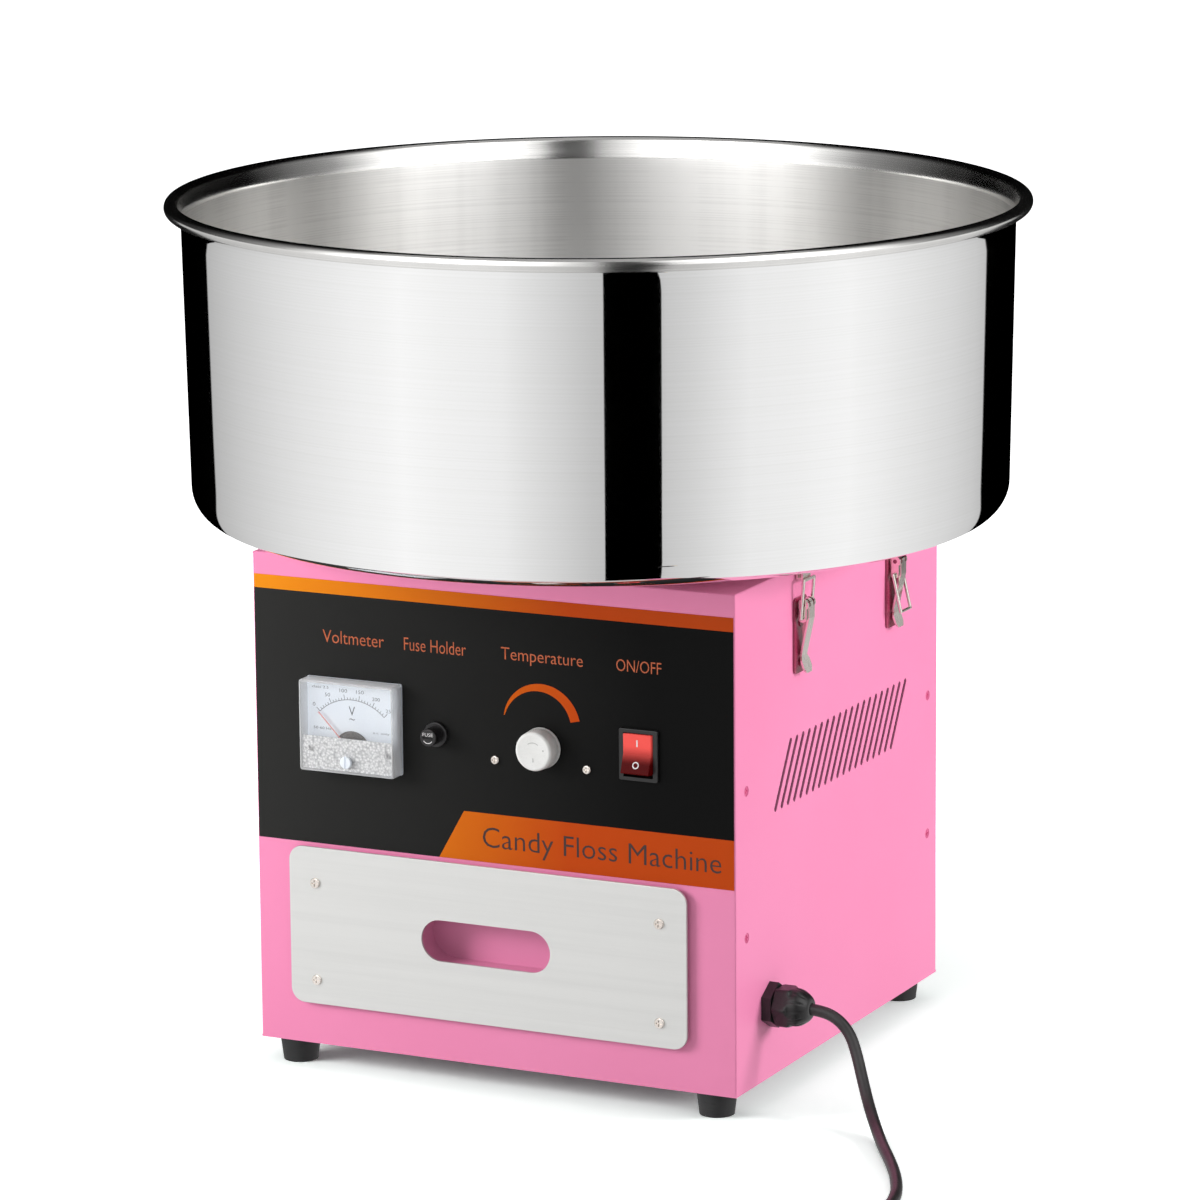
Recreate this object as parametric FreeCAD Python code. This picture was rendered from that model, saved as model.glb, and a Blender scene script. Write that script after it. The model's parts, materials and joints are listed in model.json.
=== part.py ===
import FreeCAD, Part
import math
import os

# Table-top cotton candy machine. Millimetres, +Z up, front towards -Y, right side towards +X.
# The origin is on the table under the bowl's axis, which is also the cabinet's centre line.

# Cabinet
BOX_W = 316.0
BOX_D = 300.0
BOX_H = 300.0
FOOT_H = 15.0
SHEET = 1.2
FLANGE = 28.0
EDGE_R = 1.0
HALF_W = BOX_W / 2
HALF_D = BOX_D / 2
BOX_Z0 = FOOT_H
BOX_Z1 = FOOT_H + BOX_H
INNER_W = HALF_W - SHEET
INNER_D = HALF_D - SHEET
FRONT_Y = -HALF_D

# Feet
FOOT_X = HALF_W - 19.0
FOOT_Y = HALF_D - 14.0
FOOT_TOP_R = 12.4
FOOT_BOTTOM_R = 10.5

# Side panel screws and vent slots
SCREW_Y = 135.0
SCREW_Z = (108.0, 196.0)
SCREW_HEAD_R = 3.0
VENT_COUNT = 20
VENT_PITCH = 9.03
VENT_LOW_Y = -94.0
VENT_LOW_Z = 176.0
VENT_RUN = 22.0
VENT_RISE = 36.5
VENT_WIDTH = 3.4

# Printed front film
FILM_T = 0.3
FILM_Z0 = 140.0
FILM_Z1 = 293.2
STRIPE_Z1 = 301.5
BANNER_Z1 = 169.8
BANNER_X_LOW = -35.1
BANNER_X_HIGH = -18.2
FILM_Y = FRONT_Y - FILM_T

# Panel meter
METER_X = -89.8
METER_Z = 215.1
METER_W = 63.0
METER_H = 55.2
METER_DEPTH = 12.5
METER_BARREL_R = 25.0
METER_PIVOT_DZ = -14.9
METER_ARC_R = 32.0
METER_SWEEP = 88.0
METER_TRIM_TOP_DZ = -6.3
METER_ZERO_DZ = -20.2
METER_SCREW_DX = 26.0
METER_SCREW_DZ = -13.7
METER_WALL = 1.3

# Fuse holder, heat knob and switch
FUSE_X = -35.4
FUSE_Z = 214.9
FUSE_BODY_R = 6.0
FUSE_FLANGE_R = 7.6
KNOB_X = 34.0
KNOB_Z = 213.4
KNOB_R = 12.3
KNOB_H = 12.2
KNOB_SHAFT_R = 3.0
PLATE_SCREW_X = 33.0
PLATE_SCREW_Z = 203.0
PLATE_SCREW_SPAN = 60.0
SWITCH_X = 97.0
SWITCH_Z = 215.1
SWITCH_W = 25.0
SWITCH_H = 31.0
ROCKER_W = 18.4
ROCKER_H = 25.4
ROCKER_TILT = 10.0

# Drawer
DRAWER_X = -3.3
PLATE_W = 263.0
PLATE_H = 97.0
PLATE_Z = 89.5
PLATE_T = 1.5
PLATE_CORNER_R = 9.0
PLATE_GAP = 2.5
TRAY_W = 236.0
TRAY_H = 78.0
TRAY_DEPTH = 230.0
TRAY_Z = 89.0
TRAY_GAP = 2.0
HOLE_W = 85.4
HOLE_H = 25.4
POCKET_DEPTH = 20.0
DRAWER_SCREW_DX = 113.85
DRAWER_SCREW_DZ = 30.0
PLATE_Y = FRONT_Y - PLATE_GAP - PLATE_T

# Bowl
BOWL_Z0 = 326.0
RIM_Z = 514.4
RIM_R = 4.2
RIM_CENTRE_R = 255.8
WALL_TOP_R = 250.0
WALL_BOTTOM_R = 247.0
BOWL_CORNER_R = 20.0
BOWL_T = 0.8
BOWL_HOLE_R = 90.0
BOWL_LIP_H = 8.0

# Toggle latches: a base plate, a lever and a wire bail each
LATCH_Y = (-60.0, 77.0)
LATCH_BASE_W = 18.0
LATCH_BASE_Z0 = 251.5
LATCH_BASE_Z1 = 297.0
LATCH_PIVOT_OUT = 5.0
LATCH_PIVOT_Z = 293.0
BAIL_OUT = 4.5
BAIL_DROP = 8.0
BAIL_LENGTH = 23.0
BAIL_WIRE_R = 1.0
BAIL_HALF_W = 7.3
BAIL_LEAN_UP = 4.8
BAIL_LEAN_DOWN = 13.0
HOOK_Z = 307.8
HOOK_OUT = 4.6
HOOK_LIP = 3.7

# Spinning head, motor and shaft on the bowl's axis
HEAD_R = 75.0
HEAD_Z0 = 345.0
HEAD_Z1 = 371.0
SHAFT_R = 6.0
SHAFT_Z0 = 148.0
SHAFT_Z1 = 386.0
MOTOR_R = 50.0
MOTOR_Z0 = 192.0
MOTOR_Z1 = 280.0
RING_R = 14.0
RING_Z = (158.0, 171.0)

# Cable gland and mains cord
GLAND_Y = -103.0
GLAND_Z = 60.0
CORD_D = 7.0
CORD_LENGTH = 1600.0
CORD_ROUTE = [
    (177, -103, 60),
    (190, -103, 60),
    (201.5, -103.2, 56.6),
    (211, -104.6, 48.6),
    (218, -108.4, 37.2),
    (224.5, -115, 24),
    (233.5, -126, 11.8),
    (245.5, -144, 4.6),
    (258, -167, 3.6),
    (272, -198, 3.6),
    (286, -235, 3.6),
    (296, -277, 3.6),
    (300, -321, 3.6),
    (298, -355, 3.6),
]
COIL_X = 340.0
COIL_Y = -378.0
COIL_MID_R = 38.5
PLUG_X = COIL_X + 32.0
PLUG_Y = COIL_Y - 53.0
PLUG_L = 32.0
PLUG_W = 28.0
PLUG_H = 20.0


def vec(x, y, z):
    return FreeCAD.Vector(x, y, z)


X_AXIS = vec(1, 0, 0)
Y_AXIS = vec(0, 1, 0)
Z_AXIS = vec(0, 0, 1)
NODES = {}


def block(x0, x1, y0, y1, z0, z1):
    """A box between two corners."""
    return Part.makeBox(x1 - x0, y1 - y0, z1 - z0, vec(x0, y0, z0))


def rod(radius, start, axis, length):
    """A cylinder from a start point along an axis."""
    return Part.makeCylinder(radius, length, vec(*start), axis)


def rod_y(radius, x, z, y0, y1):
    return rod(radius, (x, y0, z), Y_AXIS, y1 - y0)


def rod_z(radius, x, y, z0, z1):
    return rod(radius, (x, y, z0), Z_AXIS, z1 - z0)


def turned(points, axis_x=0.0, axis_y=0.0):
    """A solid of revolution about a vertical axis, from (radius, height) points."""
    corners = [vec(axis_x + r, axis_y, z) for r, z in points]
    wire = Part.makePolygon(corners + [corners[0]])
    return Part.Face(wire).revolve(vec(axis_x, axis_y, 0), Z_AXIS, 360)


def edges_along(shape, axis):
    """The straight edges of a shape that run along an axis."""
    found = []
    for edge in shape.Edges:
        if edge.Curve.TypeId == "Part::GeomLine":
            if abs(abs(edge.tangentAt(edge.FirstParameter).dot(axis)) - 1) < 1e-6:
                found.append(edge)
    return found


def rounded(shape, axis, radius):
    """A box with its four edges along an axis rounded."""
    return shape.makeFillet(radius, edges_along(shape, axis))


def rounded_y(x, z, width, height, y0, y1, radius):
    """A plate or hole facing the front, centred on (x, z), with round corners."""
    plate = block(x - width / 2, x + width / 2, y0, y1, z - height / 2, z + height / 2)
    return rounded(plate, Y_AXIS, radius)


def hexagon(across_flats):
    """The corner points of a regular hexagon round the origin, in (y, z)."""
    corner = across_flats / math.sqrt(3)
    angles = [math.radians(60 * k + 30) for k in range(6)]
    return [(corner * math.cos(a), corner * math.sin(a)) for a in angles]


def mirrored_x(shape):
    return shape.mirror(vec(0, 0, 0), X_AXIS)


def group(shapes):
    return Part.makeCompound(shapes)


def cross_slot(centre, axis, radius, depth):
    """The cross recess of a screw head, cut inwards from the centre point along the axis."""
    width = radius * 0.28
    side = Y_AXIS if abs(axis.x) > 0.5 else X_AXIS
    up = axis.cross(side)
    bars = []
    for along, across in ((side, up), (up, side)):
        corner = vec(*centre) - along * (radius * 0.6) - across * (width / 2)
        face = Part.makePolygon([
            corner,
            corner + along * (radius * 1.2),
            corner + along * (radius * 1.2) + across * width,
            corner + across * width,
            corner,
        ])
        bars.append(Part.Face(face).extrude(axis * depth))
    return bars[0].fuse(bars[1])


def domed_screw(centre, axis, head_r, head_h, shank_r, shank_length):
    """A pan-head screw whose head sits on the centre point, with its shank along the axis."""
    base = vec(*centre)
    head = Part.makeCylinder(head_r, head_h, base - axis * head_h, axis)
    outer = [e for e in head.Edges if e.Curve.TypeId == "Part::GeomCircle"
             and (e.CenterOfMass - base).dot(axis) < -head_h / 2]
    head = head.makeFillet(head_h * 0.6, outer)
    top = base - axis * head_h
    head = head.cut(cross_slot((top.x, top.y, top.z), axis, head_r, head_h * 0.55))
    return head.fuse(Part.makeCylinder(shank_r, shank_length, base, axis))


# Sheet-metal cabinet

def front_panel():
    """The front sheet with its side flanges and the holes for the drawer and the controls."""
    sheet = block(-HALF_W, HALF_W, FRONT_Y, FRONT_Y + SHEET, BOX_Z0 + SHEET, BOX_Z1 - SHEET)
    outer = [e for e in edges_along(sheet, Z_AXIS) if e.CenterOfMass.y < FRONT_Y + 0.01]
    sheet = sheet.makeFillet(EDGE_R, outer)
    flange = block(INNER_W - SHEET, INNER_W, FRONT_Y + SHEET, FRONT_Y + FLANGE,
                   BOX_Z0 + SHEET, BOX_Z1 - SHEET)
    sheet = sheet.fuse(flange).fuse(mirrored_x(flange))
    y0 = FRONT_Y - 5
    y1 = FRONT_Y + 5
    holes = [
        rounded_y(DRAWER_X, TRAY_Z, TRAY_W + 2 * TRAY_GAP, TRAY_H + 2 * TRAY_GAP, y0, y1, 3.0),
        rod_y(METER_BARREL_R + 0.5, METER_X, METER_Z, y0, y1),
        rod_y(FUSE_BODY_R, FUSE_X, FUSE_Z, y0, y1),
        rod_y(KNOB_SHAFT_R + 1.5, KNOB_X, KNOB_Z, y0, y1),
        block(SWITCH_X - 11, SWITCH_X + 11, y0, y1, SWITCH_Z - 14, SWITCH_Z + 14),
    ]
    for side in (-1, 1):
        x = PLATE_SCREW_X + side * PLATE_SCREW_SPAN / 2
        holes.append(rod_y(1.5, x, PLATE_SCREW_Z, y0, y1))
        for z in SCREW_Z:
            start = (side * (INNER_W - 4), -SCREW_Y, z)
            holes.append(rod(1.6, start, vec(side, 0, 0), 8))
    for hole in holes:
        sheet = sheet.cut(hole)
    return sheet


def back_panel():
    """The back sheet with its side flanges."""
    sheet = block(-HALF_W, HALF_W, INNER_D, HALF_D, BOX_Z0 + SHEET, BOX_Z1 - SHEET)
    outer = [e for e in edges_along(sheet, Z_AXIS) if e.CenterOfMass.y > HALF_D - 0.01]
    sheet = sheet.makeFillet(EDGE_R, outer)
    flange = block(INNER_W - SHEET, INNER_W, HALF_D - FLANGE, INNER_D,
                   BOX_Z0 + SHEET, BOX_Z1 - SHEET)
    sheet = sheet.fuse(flange).fuse(mirrored_x(flange))
    for side in (-1, 1):
        for z in SCREW_Z:
            start = (side * (INNER_W - 4), SCREW_Y, z)
            sheet = sheet.cut(rod(1.6, start, vec(side, 0, 0), 8))
    return sheet


def vent_slot(index):
    """One slanted vent slot with round ends, running right through a side panel."""
    y0 = VENT_LOW_Y + index * VENT_PITCH
    length = math.hypot(VENT_RUN, VENT_RISE)
    x0 = INNER_W - 3
    x1 = HALF_W + 3
    slot = block(x0, x1, -VENT_WIDTH / 2, VENT_WIDTH / 2, 0, length)
    for z in (0, length):
        slot = slot.fuse(rod(VENT_WIDTH / 2, (x0, 0, z), X_AXIS, x1 - x0))
    lean = -math.degrees(math.atan2(VENT_RUN, VENT_RISE))
    slot.rotate(vec(0, 0, 0), X_AXIS, lean)
    slot.translate(vec(0, y0, VENT_LOW_Z))
    return slot


def right_side_panel(with_gland):
    """A side sheet with vent slots, screw holes and latch rivet holes."""
    sheet = block(INNER_W, HALF_W, -INNER_D, INNER_D, BOX_Z0 + SHEET, BOX_Z1 - SHEET)
    holes = [vent_slot(k) for k in range(VENT_COUNT)]
    x0 = INNER_W - 3
    for y in (-SCREW_Y, SCREW_Y):
        for z in SCREW_Z:
            holes.append(rod(SCREW_HEAD_R + 0.1, (x0, y, z), X_AXIS, 8))
    for y in LATCH_Y:
        for z in latch_rivet_heights():
            holes.append(rod(1.5, (x0, y, z), X_AXIS, 8))
    if with_gland:
        holes.append(rod(8.0, (x0, GLAND_Y, GLAND_Z), X_AXIS, 8))
    return sheet.cut(holes)


def top_plate():
    """The top sheet, open in the middle for the shaft."""
    sheet = block(-HALF_W, HALF_W, -HALF_D, HALF_D, BOX_Z1 - SHEET, BOX_Z1)
    upper = [e for e in sheet.Edges if e.CenterOfMass.z > BOX_Z1 - 0.01]
    sheet = sheet.makeFillet(EDGE_R, upper)
    sheet = sheet.cut(rod_z(30, 0, 0, BOX_Z1 - 5, BOX_Z1 + 5))
    for x, y in motor_post_places():
        sheet = sheet.cut(rod_z(2.5, x, y, BOX_Z1 - 5, BOX_Z1 + 5))
    return sheet


def base_plate():
    """The bottom sheet with a hole over each foot."""
    sheet = block(-HALF_W, HALF_W, -HALF_D, HALF_D, BOX_Z0, BOX_Z0 + SHEET)
    for x, y in foot_places():
        sheet = sheet.cut(rod_z(2.0, x, y, BOX_Z0 - 5, BOX_Z0 + 5))
    return sheet


def foot_places():
    return [(sx * FOOT_X, sy * FOOT_Y) for sx in (-1, 1) for sy in (-1, 1)]


def feet():
    """Four tapered rubber feet, hollow below for their screws."""
    solids = []
    for x, y in foot_places():
        foot = turned([(2.0, FOOT_H), (2.0, 9.0), (6.0, 9.0), (6.0, 0.0),
                       (FOOT_BOTTOM_R, 0.0), (FOOT_TOP_R, FOOT_H)], x, y)
        solids.append(foot)
    return group(solids)


def cabinet_screws():
    """The side panels' recessed screws and the feet's screws."""
    solids = []
    for side in (-1, 1):
        inward = vec(-side, 0, 0)
        for y in (-SCREW_Y, SCREW_Y):
            for z in SCREW_Z:
                face = side * (HALF_W - 0.3)
                head = rod(SCREW_HEAD_R, (face, y, z), inward, SHEET - 0.3)
                head = head.cut(cross_slot((face, y, z), inward, SCREW_HEAD_R, 0.5))
                shank = rod(1.6, (side * INNER_W, y, z), inward, 8)
                solids.append(head.fuse(shank))
    for x, y in foot_places():
        solids.append(domed_screw((x, y, 9.0), Z_AXIS, 4.5, 3.0, 2.0, 13.0))
    return group(solids)


# Printed film on the front panel

def control_holes(y0, y1):
    """The cut-outs that the printed film shares with the front panel."""
    holes = [
        rod_y(METER_BARREL_R + 0.5, METER_X, METER_Z, y0, y1),
        rod_y(FUSE_BODY_R, FUSE_X, FUSE_Z, y0, y1),
        rod_y(KNOB_SHAFT_R + 1.5, KNOB_X, KNOB_Z, y0, y1),
        block(SWITCH_X - 11, SWITCH_X + 11, y0, y1, SWITCH_Z - 14, SWITCH_Z + 14),
    ]
    for side in (-1, 1):
        x = PLATE_SCREW_X + side * PLATE_SCREW_SPAN / 2
        holes.append(rod_y(1.5, x, PLATE_SCREW_Z, y0, y1))
    return holes


def banner_film():
    """The orange name strip at the film's lower right, with a slanted left end."""
    right = HALF_W - EDGE_R
    corners = [(BANNER_X_LOW, FILM_Z0), (right, FILM_Z0),
               (right, BANNER_Z1), (BANNER_X_HIGH, BANNER_Z1)]
    points = [vec(x, FILM_Y, z) for x, z in corners]
    face = Part.Face(Part.makePolygon(points + [points[0]]))
    return face.extrude(vec(0, FILM_T, 0))


def film_black():
    """The black field that carries the controls."""
    right = HALF_W - EDGE_R
    film = block(-right, right, FILM_Y, FRONT_Y, FILM_Z0, FILM_Z1)
    return film.cut([banner_film()] + control_holes(FILM_Y - 5, FRONT_Y + 5))


def film_orange():
    """The orange stripe along the top and the name strip."""
    right = HALF_W - EDGE_R
    stripe = block(-right, right, FILM_Y, FRONT_Y, FILM_Z1, STRIPE_Z1)
    return group([stripe, banner_film()])


# Panel meter

def meter_case():
    """The meter's back: a flange on the film, a dial frame and a round barrel behind."""
    flange = rounded_y(METER_X, METER_Z, METER_W, METER_H, FILM_Y - 1.5, FILM_Y, 1.0)
    frame_w = METER_W - 2 * METER_WALL - 0.4
    frame_h = METER_H - 2 * METER_WALL - 0.4
    frame = block(METER_X - frame_w / 2, METER_X + frame_w / 2, FILM_Y - 4.0, FILM_Y - 1.5,
                  METER_Z - frame_h / 2, METER_Z + frame_h / 2)
    barrel = rod_y(METER_BARREL_R, METER_X, METER_Z, FILM_Y, FILM_Y + 36)
    barrel = barrel.cut(rod_y(METER_BARREL_R - 2, METER_X, METER_Z, FILM_Y + 2, FILM_Y + 34))
    for side in (-1, 1):
        stud = rod_y(2.0, METER_X + side * 12, METER_Z - 6, FILM_Y + 36, FILM_Y + 46)
        barrel = barrel.fuse(stud)
    return flange.fuse(frame).fuse(barrel)


def meter_dial():
    """The white scale plate."""
    w = METER_W - 2 * METER_WALL - 2.0
    top = METER_Z + METER_H / 2 - METER_WALL - 1.0
    low = METER_Z + METER_TRIM_TOP_DZ - 2.0
    dial = block(METER_X - w / 2, METER_X + w / 2, FILM_Y - 4.5, FILM_Y - 4.0, low, top)
    return dial.cut(rod_y(8.2, METER_X, METER_Z + METER_PIVOT_DZ, FILM_Y - 6, FILM_Y - 3))


def meter_movement():
    """The dark moving-coil block that shows as a half disc above the trim."""
    z = METER_Z + METER_PIVOT_DZ
    disc = rod_y(8.0, METER_X, z, FILM_Y - 5.5, FILM_Y - 4.0)
    post = rod_y(1.0, METER_X, z, FILM_Y - 8.4, FILM_Y - 5.5)
    return disc.fuse(post)


def meter_needle():
    """A thin pointer on a small hub, resting at the low end of the scale."""
    z = METER_Z + METER_PIVOT_DZ
    y0 = FILM_Y - 7.0
    hub = rod_y(2.6, METER_X, z, y0, y0 + 1.2)
    arm = block(METER_X - 0.35, METER_X + 0.35, y0 + 0.3, y0 + 0.7, z - 6, z + METER_ARC_R - 1.0)
    needle = hub.fuse(arm).cut(rod_y(1.05, METER_X, z, y0 - 1, y0 + 2))
    needle.rotate(vec(METER_X, 0, z), Y_AXIS, -METER_SWEEP / 2)
    return needle


def meter_cover():
    """The clear moulded box over the dial."""
    y0 = FILM_Y - METER_DEPTH
    y1 = FILM_Y - 1.5
    box = rounded_y(METER_X, METER_Z, METER_W, METER_H, y0, y1, 1.5)
    front = [e for e in box.Edges if e.CenterOfMass.y < y0 + 0.01]
    box = box.makeFillet(1.0, front)
    w = METER_W - 2 * METER_WALL
    h = METER_H - 2 * METER_WALL
    hollow = block(METER_X - w / 2, METER_X + w / 2, y0 + METER_WALL, y1 + 1,
                   METER_Z - h / 2, METER_Z + h / 2)
    zero = rod_y(2.0, METER_X, METER_Z + METER_ZERO_DZ, y0 - 1, y1)
    box = box.cut(hollow).cut(zero)
    for side in (-1, 1):
        x = METER_X + side * METER_SCREW_DX
        box = box.cut(rod_y(0.7, x, METER_Z + METER_SCREW_DZ, y0 - 1, y1))
    return box


def meter_trim():
    """The pebbled strip behind the cover's lower third, with its two small screws."""
    y0 = FILM_Y - METER_DEPTH + METER_WALL
    w = METER_W - 2 * METER_WALL - 0.4
    low = METER_Z - METER_H / 2 + METER_WALL + 0.2
    strip = block(METER_X - w / 2, METER_X + w / 2, y0, y0 + 1.0,
                  low, METER_Z + METER_TRIM_TOP_DZ)
    strip = strip.cut(rod_y(2.0, METER_X, METER_Z + METER_ZERO_DZ, y0 - 1, y0 + 3))
    screws = []
    for side in (-1, 1):
        x = METER_X + side * METER_SCREW_DX
        z = METER_Z + METER_SCREW_DZ
        strip = strip.cut(rod_y(0.7, x, z, y0 - 1, y0 + 3))
        screws.append(domed_screw((x, y0 - METER_WALL, z), Y_AXIS, 1.5, 0.6, 0.7, 3.5))
    return group([strip] + screws)


def meter_zero_screw():
    """The slotted zero adjuster, with its stem through the cover and the trim."""
    z = METER_Z + METER_ZERO_DZ
    y0 = FILM_Y - METER_DEPTH
    head = rod_y(3.7, METER_X, z, y0 - 1.6, y0 - 0.1)
    outer = [e for e in head.Edges if e.CenterOfMass.y < y0 - 1.5]
    head = head.makeFillet(0.5, outer)
    head = head.cut(block(METER_X - 0.5, METER_X + 0.5, y0 - 3, y0 - 0.9, z - 4, z + 4))
    return head.fuse(rod_y(1.95, METER_X, z, y0 - 0.1, y0 + 4.0))


# Fuse holder, heat control and switch

def fuse_holder():
    """The threaded fuse tube with its front flange and the nut behind the panel."""
    flange = rod_y(FUSE_FLANGE_R, FUSE_X, FUSE_Z, FILM_Y - 3.0, FILM_Y)
    outer = [e for e in flange.Edges if e.CenterOfMass.y < FILM_Y - 2.9]
    flange = flange.makeFillet(0.8, outer)
    tube = rod_y(FUSE_BODY_R, FUSE_X, FUSE_Z, FILM_Y, FILM_Y + 36)
    bore = rod_y(4.2, FUSE_X, FUSE_Z, FILM_Y - 4, FILM_Y + 34)
    nut_points = [vec(FUSE_X + a, FRONT_Y + SHEET, FUSE_Z + b) for a, b in hexagon(16.0)]
    nut = Part.Face(Part.makePolygon(nut_points + [nut_points[0]])).extrude(vec(0, 4, 0))
    tab = block(FUSE_X - 2.5, FUSE_X + 2.5, FILM_Y + 36, FILM_Y + 44, FUSE_Z - 0.4, FUSE_Z + 0.4)
    return flange.fuse([tube, nut]).cut(bore).fuse(tab)


def fuse_cap():
    """The screw cap with its stem and the cup that grips the fuse."""
    y0 = FILM_Y - 12.0
    cap = rod_y(5.3, FUSE_X, FUSE_Z, y0, FILM_Y - 3.1)
    outer = [e for e in cap.Edges if e.CenterOfMass.y < y0 + 0.1]
    cap = cap.makeFillet(0.8, outer)
    stem = rod_y(4.1, FUSE_X, FUSE_Z, FILM_Y - 3.1, FILM_Y + 6)
    cup = rod_y(2.55, FUSE_X, FUSE_Z, FILM_Y + 1, FILM_Y + 7)
    slot = block(FUSE_X - 3.4, FUSE_X + 3.4, y0 - 1, y0 + 1.0, FUSE_Z - 0.6, FUSE_Z + 0.6)
    return cap.fuse(stem).cut(cup).cut(slot)


def fuse_link():
    """The glass cartridge fuse."""
    glass = rod_y(2.3, FUSE_X, FUSE_Z, FILM_Y + 6.0, FILM_Y + 16.0)
    ends = []
    for y0, y1 in ((FILM_Y + 1.0, FILM_Y + 6.0), (FILM_Y + 16.0, FILM_Y + 21.0)):
        ends.append(rod_y(2.5, FUSE_X, FUSE_Z, y0, y1))
    return glass.fuse(ends)


def knob():
    """The round heat knob, a little smaller at its face, with a pointer notch."""
    y0 = FILM_Y - 0.6 - KNOB_H
    body = Part.makeCone(KNOB_R, KNOB_R - 0.6, KNOB_H, vec(KNOB_X, FILM_Y - 0.6, KNOB_Z),
                         vec(0, -1, 0))
    outer = [e for e in body.Edges if e.CenterOfMass.y < y0 + 0.1 and e.Length > 10]
    body = body.makeFillet(1.6, outer)
    bore = rod_y(KNOB_SHAFT_R, KNOB_X, KNOB_Z, y0 + 3.0, FILM_Y + 1)
    mark = rod_y(0.8, KNOB_X + 8.0, KNOB_Z + 0.5, y0 - 1, y0 + 0.6)
    return body.cut(bore).cut(mark)


def knob_shaft():
    """The steel spindle that joins the knob to the heat control."""
    y0 = FILM_Y - 0.6 - KNOB_H + 3.0
    return rod_y(KNOB_SHAFT_R, KNOB_X, KNOB_Z, y0, FRONT_Y + 14.0)


def heat_controller():
    """The heat control: a potentiometer on a board, with a heat sink behind."""
    y0 = FRONT_Y + 10.0
    pot = rod_y(10.0, KNOB_X, KNOB_Z, y0 + 1.6, y0 + 14)
    pot = pot.cut(rod_y(KNOB_SHAFT_R + 0.05, KNOB_X, KNOB_Z, y0 - 1, y0 + 6))
    board = block(KNOB_X - 38, KNOB_X + 36, y0, y0 + 1.6, KNOB_Z - 26, KNOB_Z + 20)
    board = board.cut(rod_y(KNOB_SHAFT_R + 0.05, KNOB_X, KNOB_Z, y0 - 1, y0 + 6))
    sink = block(KNOB_X - 34, KNOB_X - 14, y0 + 1.6, y0 + 26, KNOB_Z - 22, KNOB_Z + 16)
    for k in range(4):
        x = KNOB_X - 31 + 4.2 * k
        sink = sink.cut(block(x, x + 2.2, y0 + 6, y0 + 30, KNOB_Z - 30, KNOB_Z + 30))
    solid = pot.fuse([board, sink])
    for side in (-1, 1):
        x = PLATE_SCREW_X + side * PLATE_SCREW_SPAN / 2
        solid = solid.cut(rod_y(1.5, x, PLATE_SCREW_Z, y0 - 1, y0 + 5))
    return solid


def controller_screws():
    """The two visible screws beside the knob, with the spacers behind the panel."""
    solids = []
    for side in (-1, 1):
        x = PLATE_SCREW_X + side * PLATE_SCREW_SPAN / 2
        screw = domed_screw((x, FILM_Y, PLATE_SCREW_Z), Y_AXIS, 2.7, 1.6, 1.5, 15.0)
        spacer = rod_y(3.2, x, PLATE_SCREW_Z, FRONT_Y + SHEET, FRONT_Y + 10.0)
        spacer = spacer.cut(rod_y(1.5, x, PLATE_SCREW_Z, FRONT_Y, FRONT_Y + 12.0))
        solids.append(screw)
        solids.append(spacer)
    return group(solids)


def switch_housing():
    """The black bezel and body of the rocker switch, with its spade tabs."""
    bezel = rounded_y(SWITCH_X, SWITCH_Z, SWITCH_W, SWITCH_H, FILM_Y - 2.2, FILM_Y, 1.2)
    front = [e for e in bezel.Edges if e.CenterOfMass.y < FILM_Y - 2.1]
    bezel = bezel.makeFillet(0.6, front)
    body = block(SWITCH_X - 10.8, SWITCH_X + 10.8, FILM_Y, FILM_Y + 24,
                 SWITCH_Z - 13.8, SWITCH_Z + 13.8)
    well = block(SWITCH_X - ROCKER_W / 2 - 0.3, SWITCH_X + ROCKER_W / 2 + 0.3,
                 FILM_Y - 4, FILM_Y + 12,
                 SWITCH_Z - ROCKER_H / 2 - 0.5, SWITCH_Z + ROCKER_H / 2 + 0.5)
    housing = bezel.fuse(body).cut(well)
    pin = rod(1.2, (SWITCH_X - 10, FILM_Y + 2.0, SWITCH_Z), X_AXIS, 20)
    housing = housing.fuse(pin)
    for sx in (-1, 1):
        for sz in (-1, 1):
            x = SWITCH_X + sx * 6
            z = SWITCH_Z + sz * 8
            housing = housing.fuse(block(x - 0.4, x + 0.4, FILM_Y + 24, FILM_Y + 32,
                                         z - 3, z + 3))
    return housing


def rocker():
    """The red rocker: two shallow flats that meet over the pivot, tipped to ON."""
    w = ROCKER_W / 2 - 0.1
    h = ROCKER_H / 2 - 1.0
    y = FILM_Y
    outline = [(y - 3.4, 0.0), (y - 5.6, -h), (y - 0.5, -h), (y + 4.8, -5.0),
               (y + 4.8, 5.0), (y - 0.5, h), (y - 5.6, h)]
    points = [vec(SWITCH_X - w, a, SWITCH_Z + b) for a, b in outline]
    solid = Part.Face(Part.makePolygon(points + [points[0]])).extrude(vec(2 * w, 0, 0))
    solid = solid.cut(rod(1.25, (SWITCH_X - 12, FILM_Y + 2.0, SWITCH_Z), X_AXIS, 24))
    edges = [e for e in solid.Edges if e.CenterOfMass.y < y - 3.0]
    solid = solid.makeFillet(0.5, edges)
    solid.rotate(vec(SWITCH_X, FILM_Y + 2.0, SWITCH_Z), X_AXIS, -ROCKER_TILT)
    return solid



# Drawer

def finger_hole(width, height, y0, y1):
    """The long rounded hole in the drawer's front."""
    return rounded_y(DRAWER_X, PLATE_Z, width, height, y0, y1, height / 2 - 0.01)


def drawer_screw_places():
    return [(DRAWER_X + sx * DRAWER_SCREW_DX, PLATE_Z - 3.5 + sz * DRAWER_SCREW_DZ)
            for sx in (-1, 1) for sz in (-1, 1)]


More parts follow.
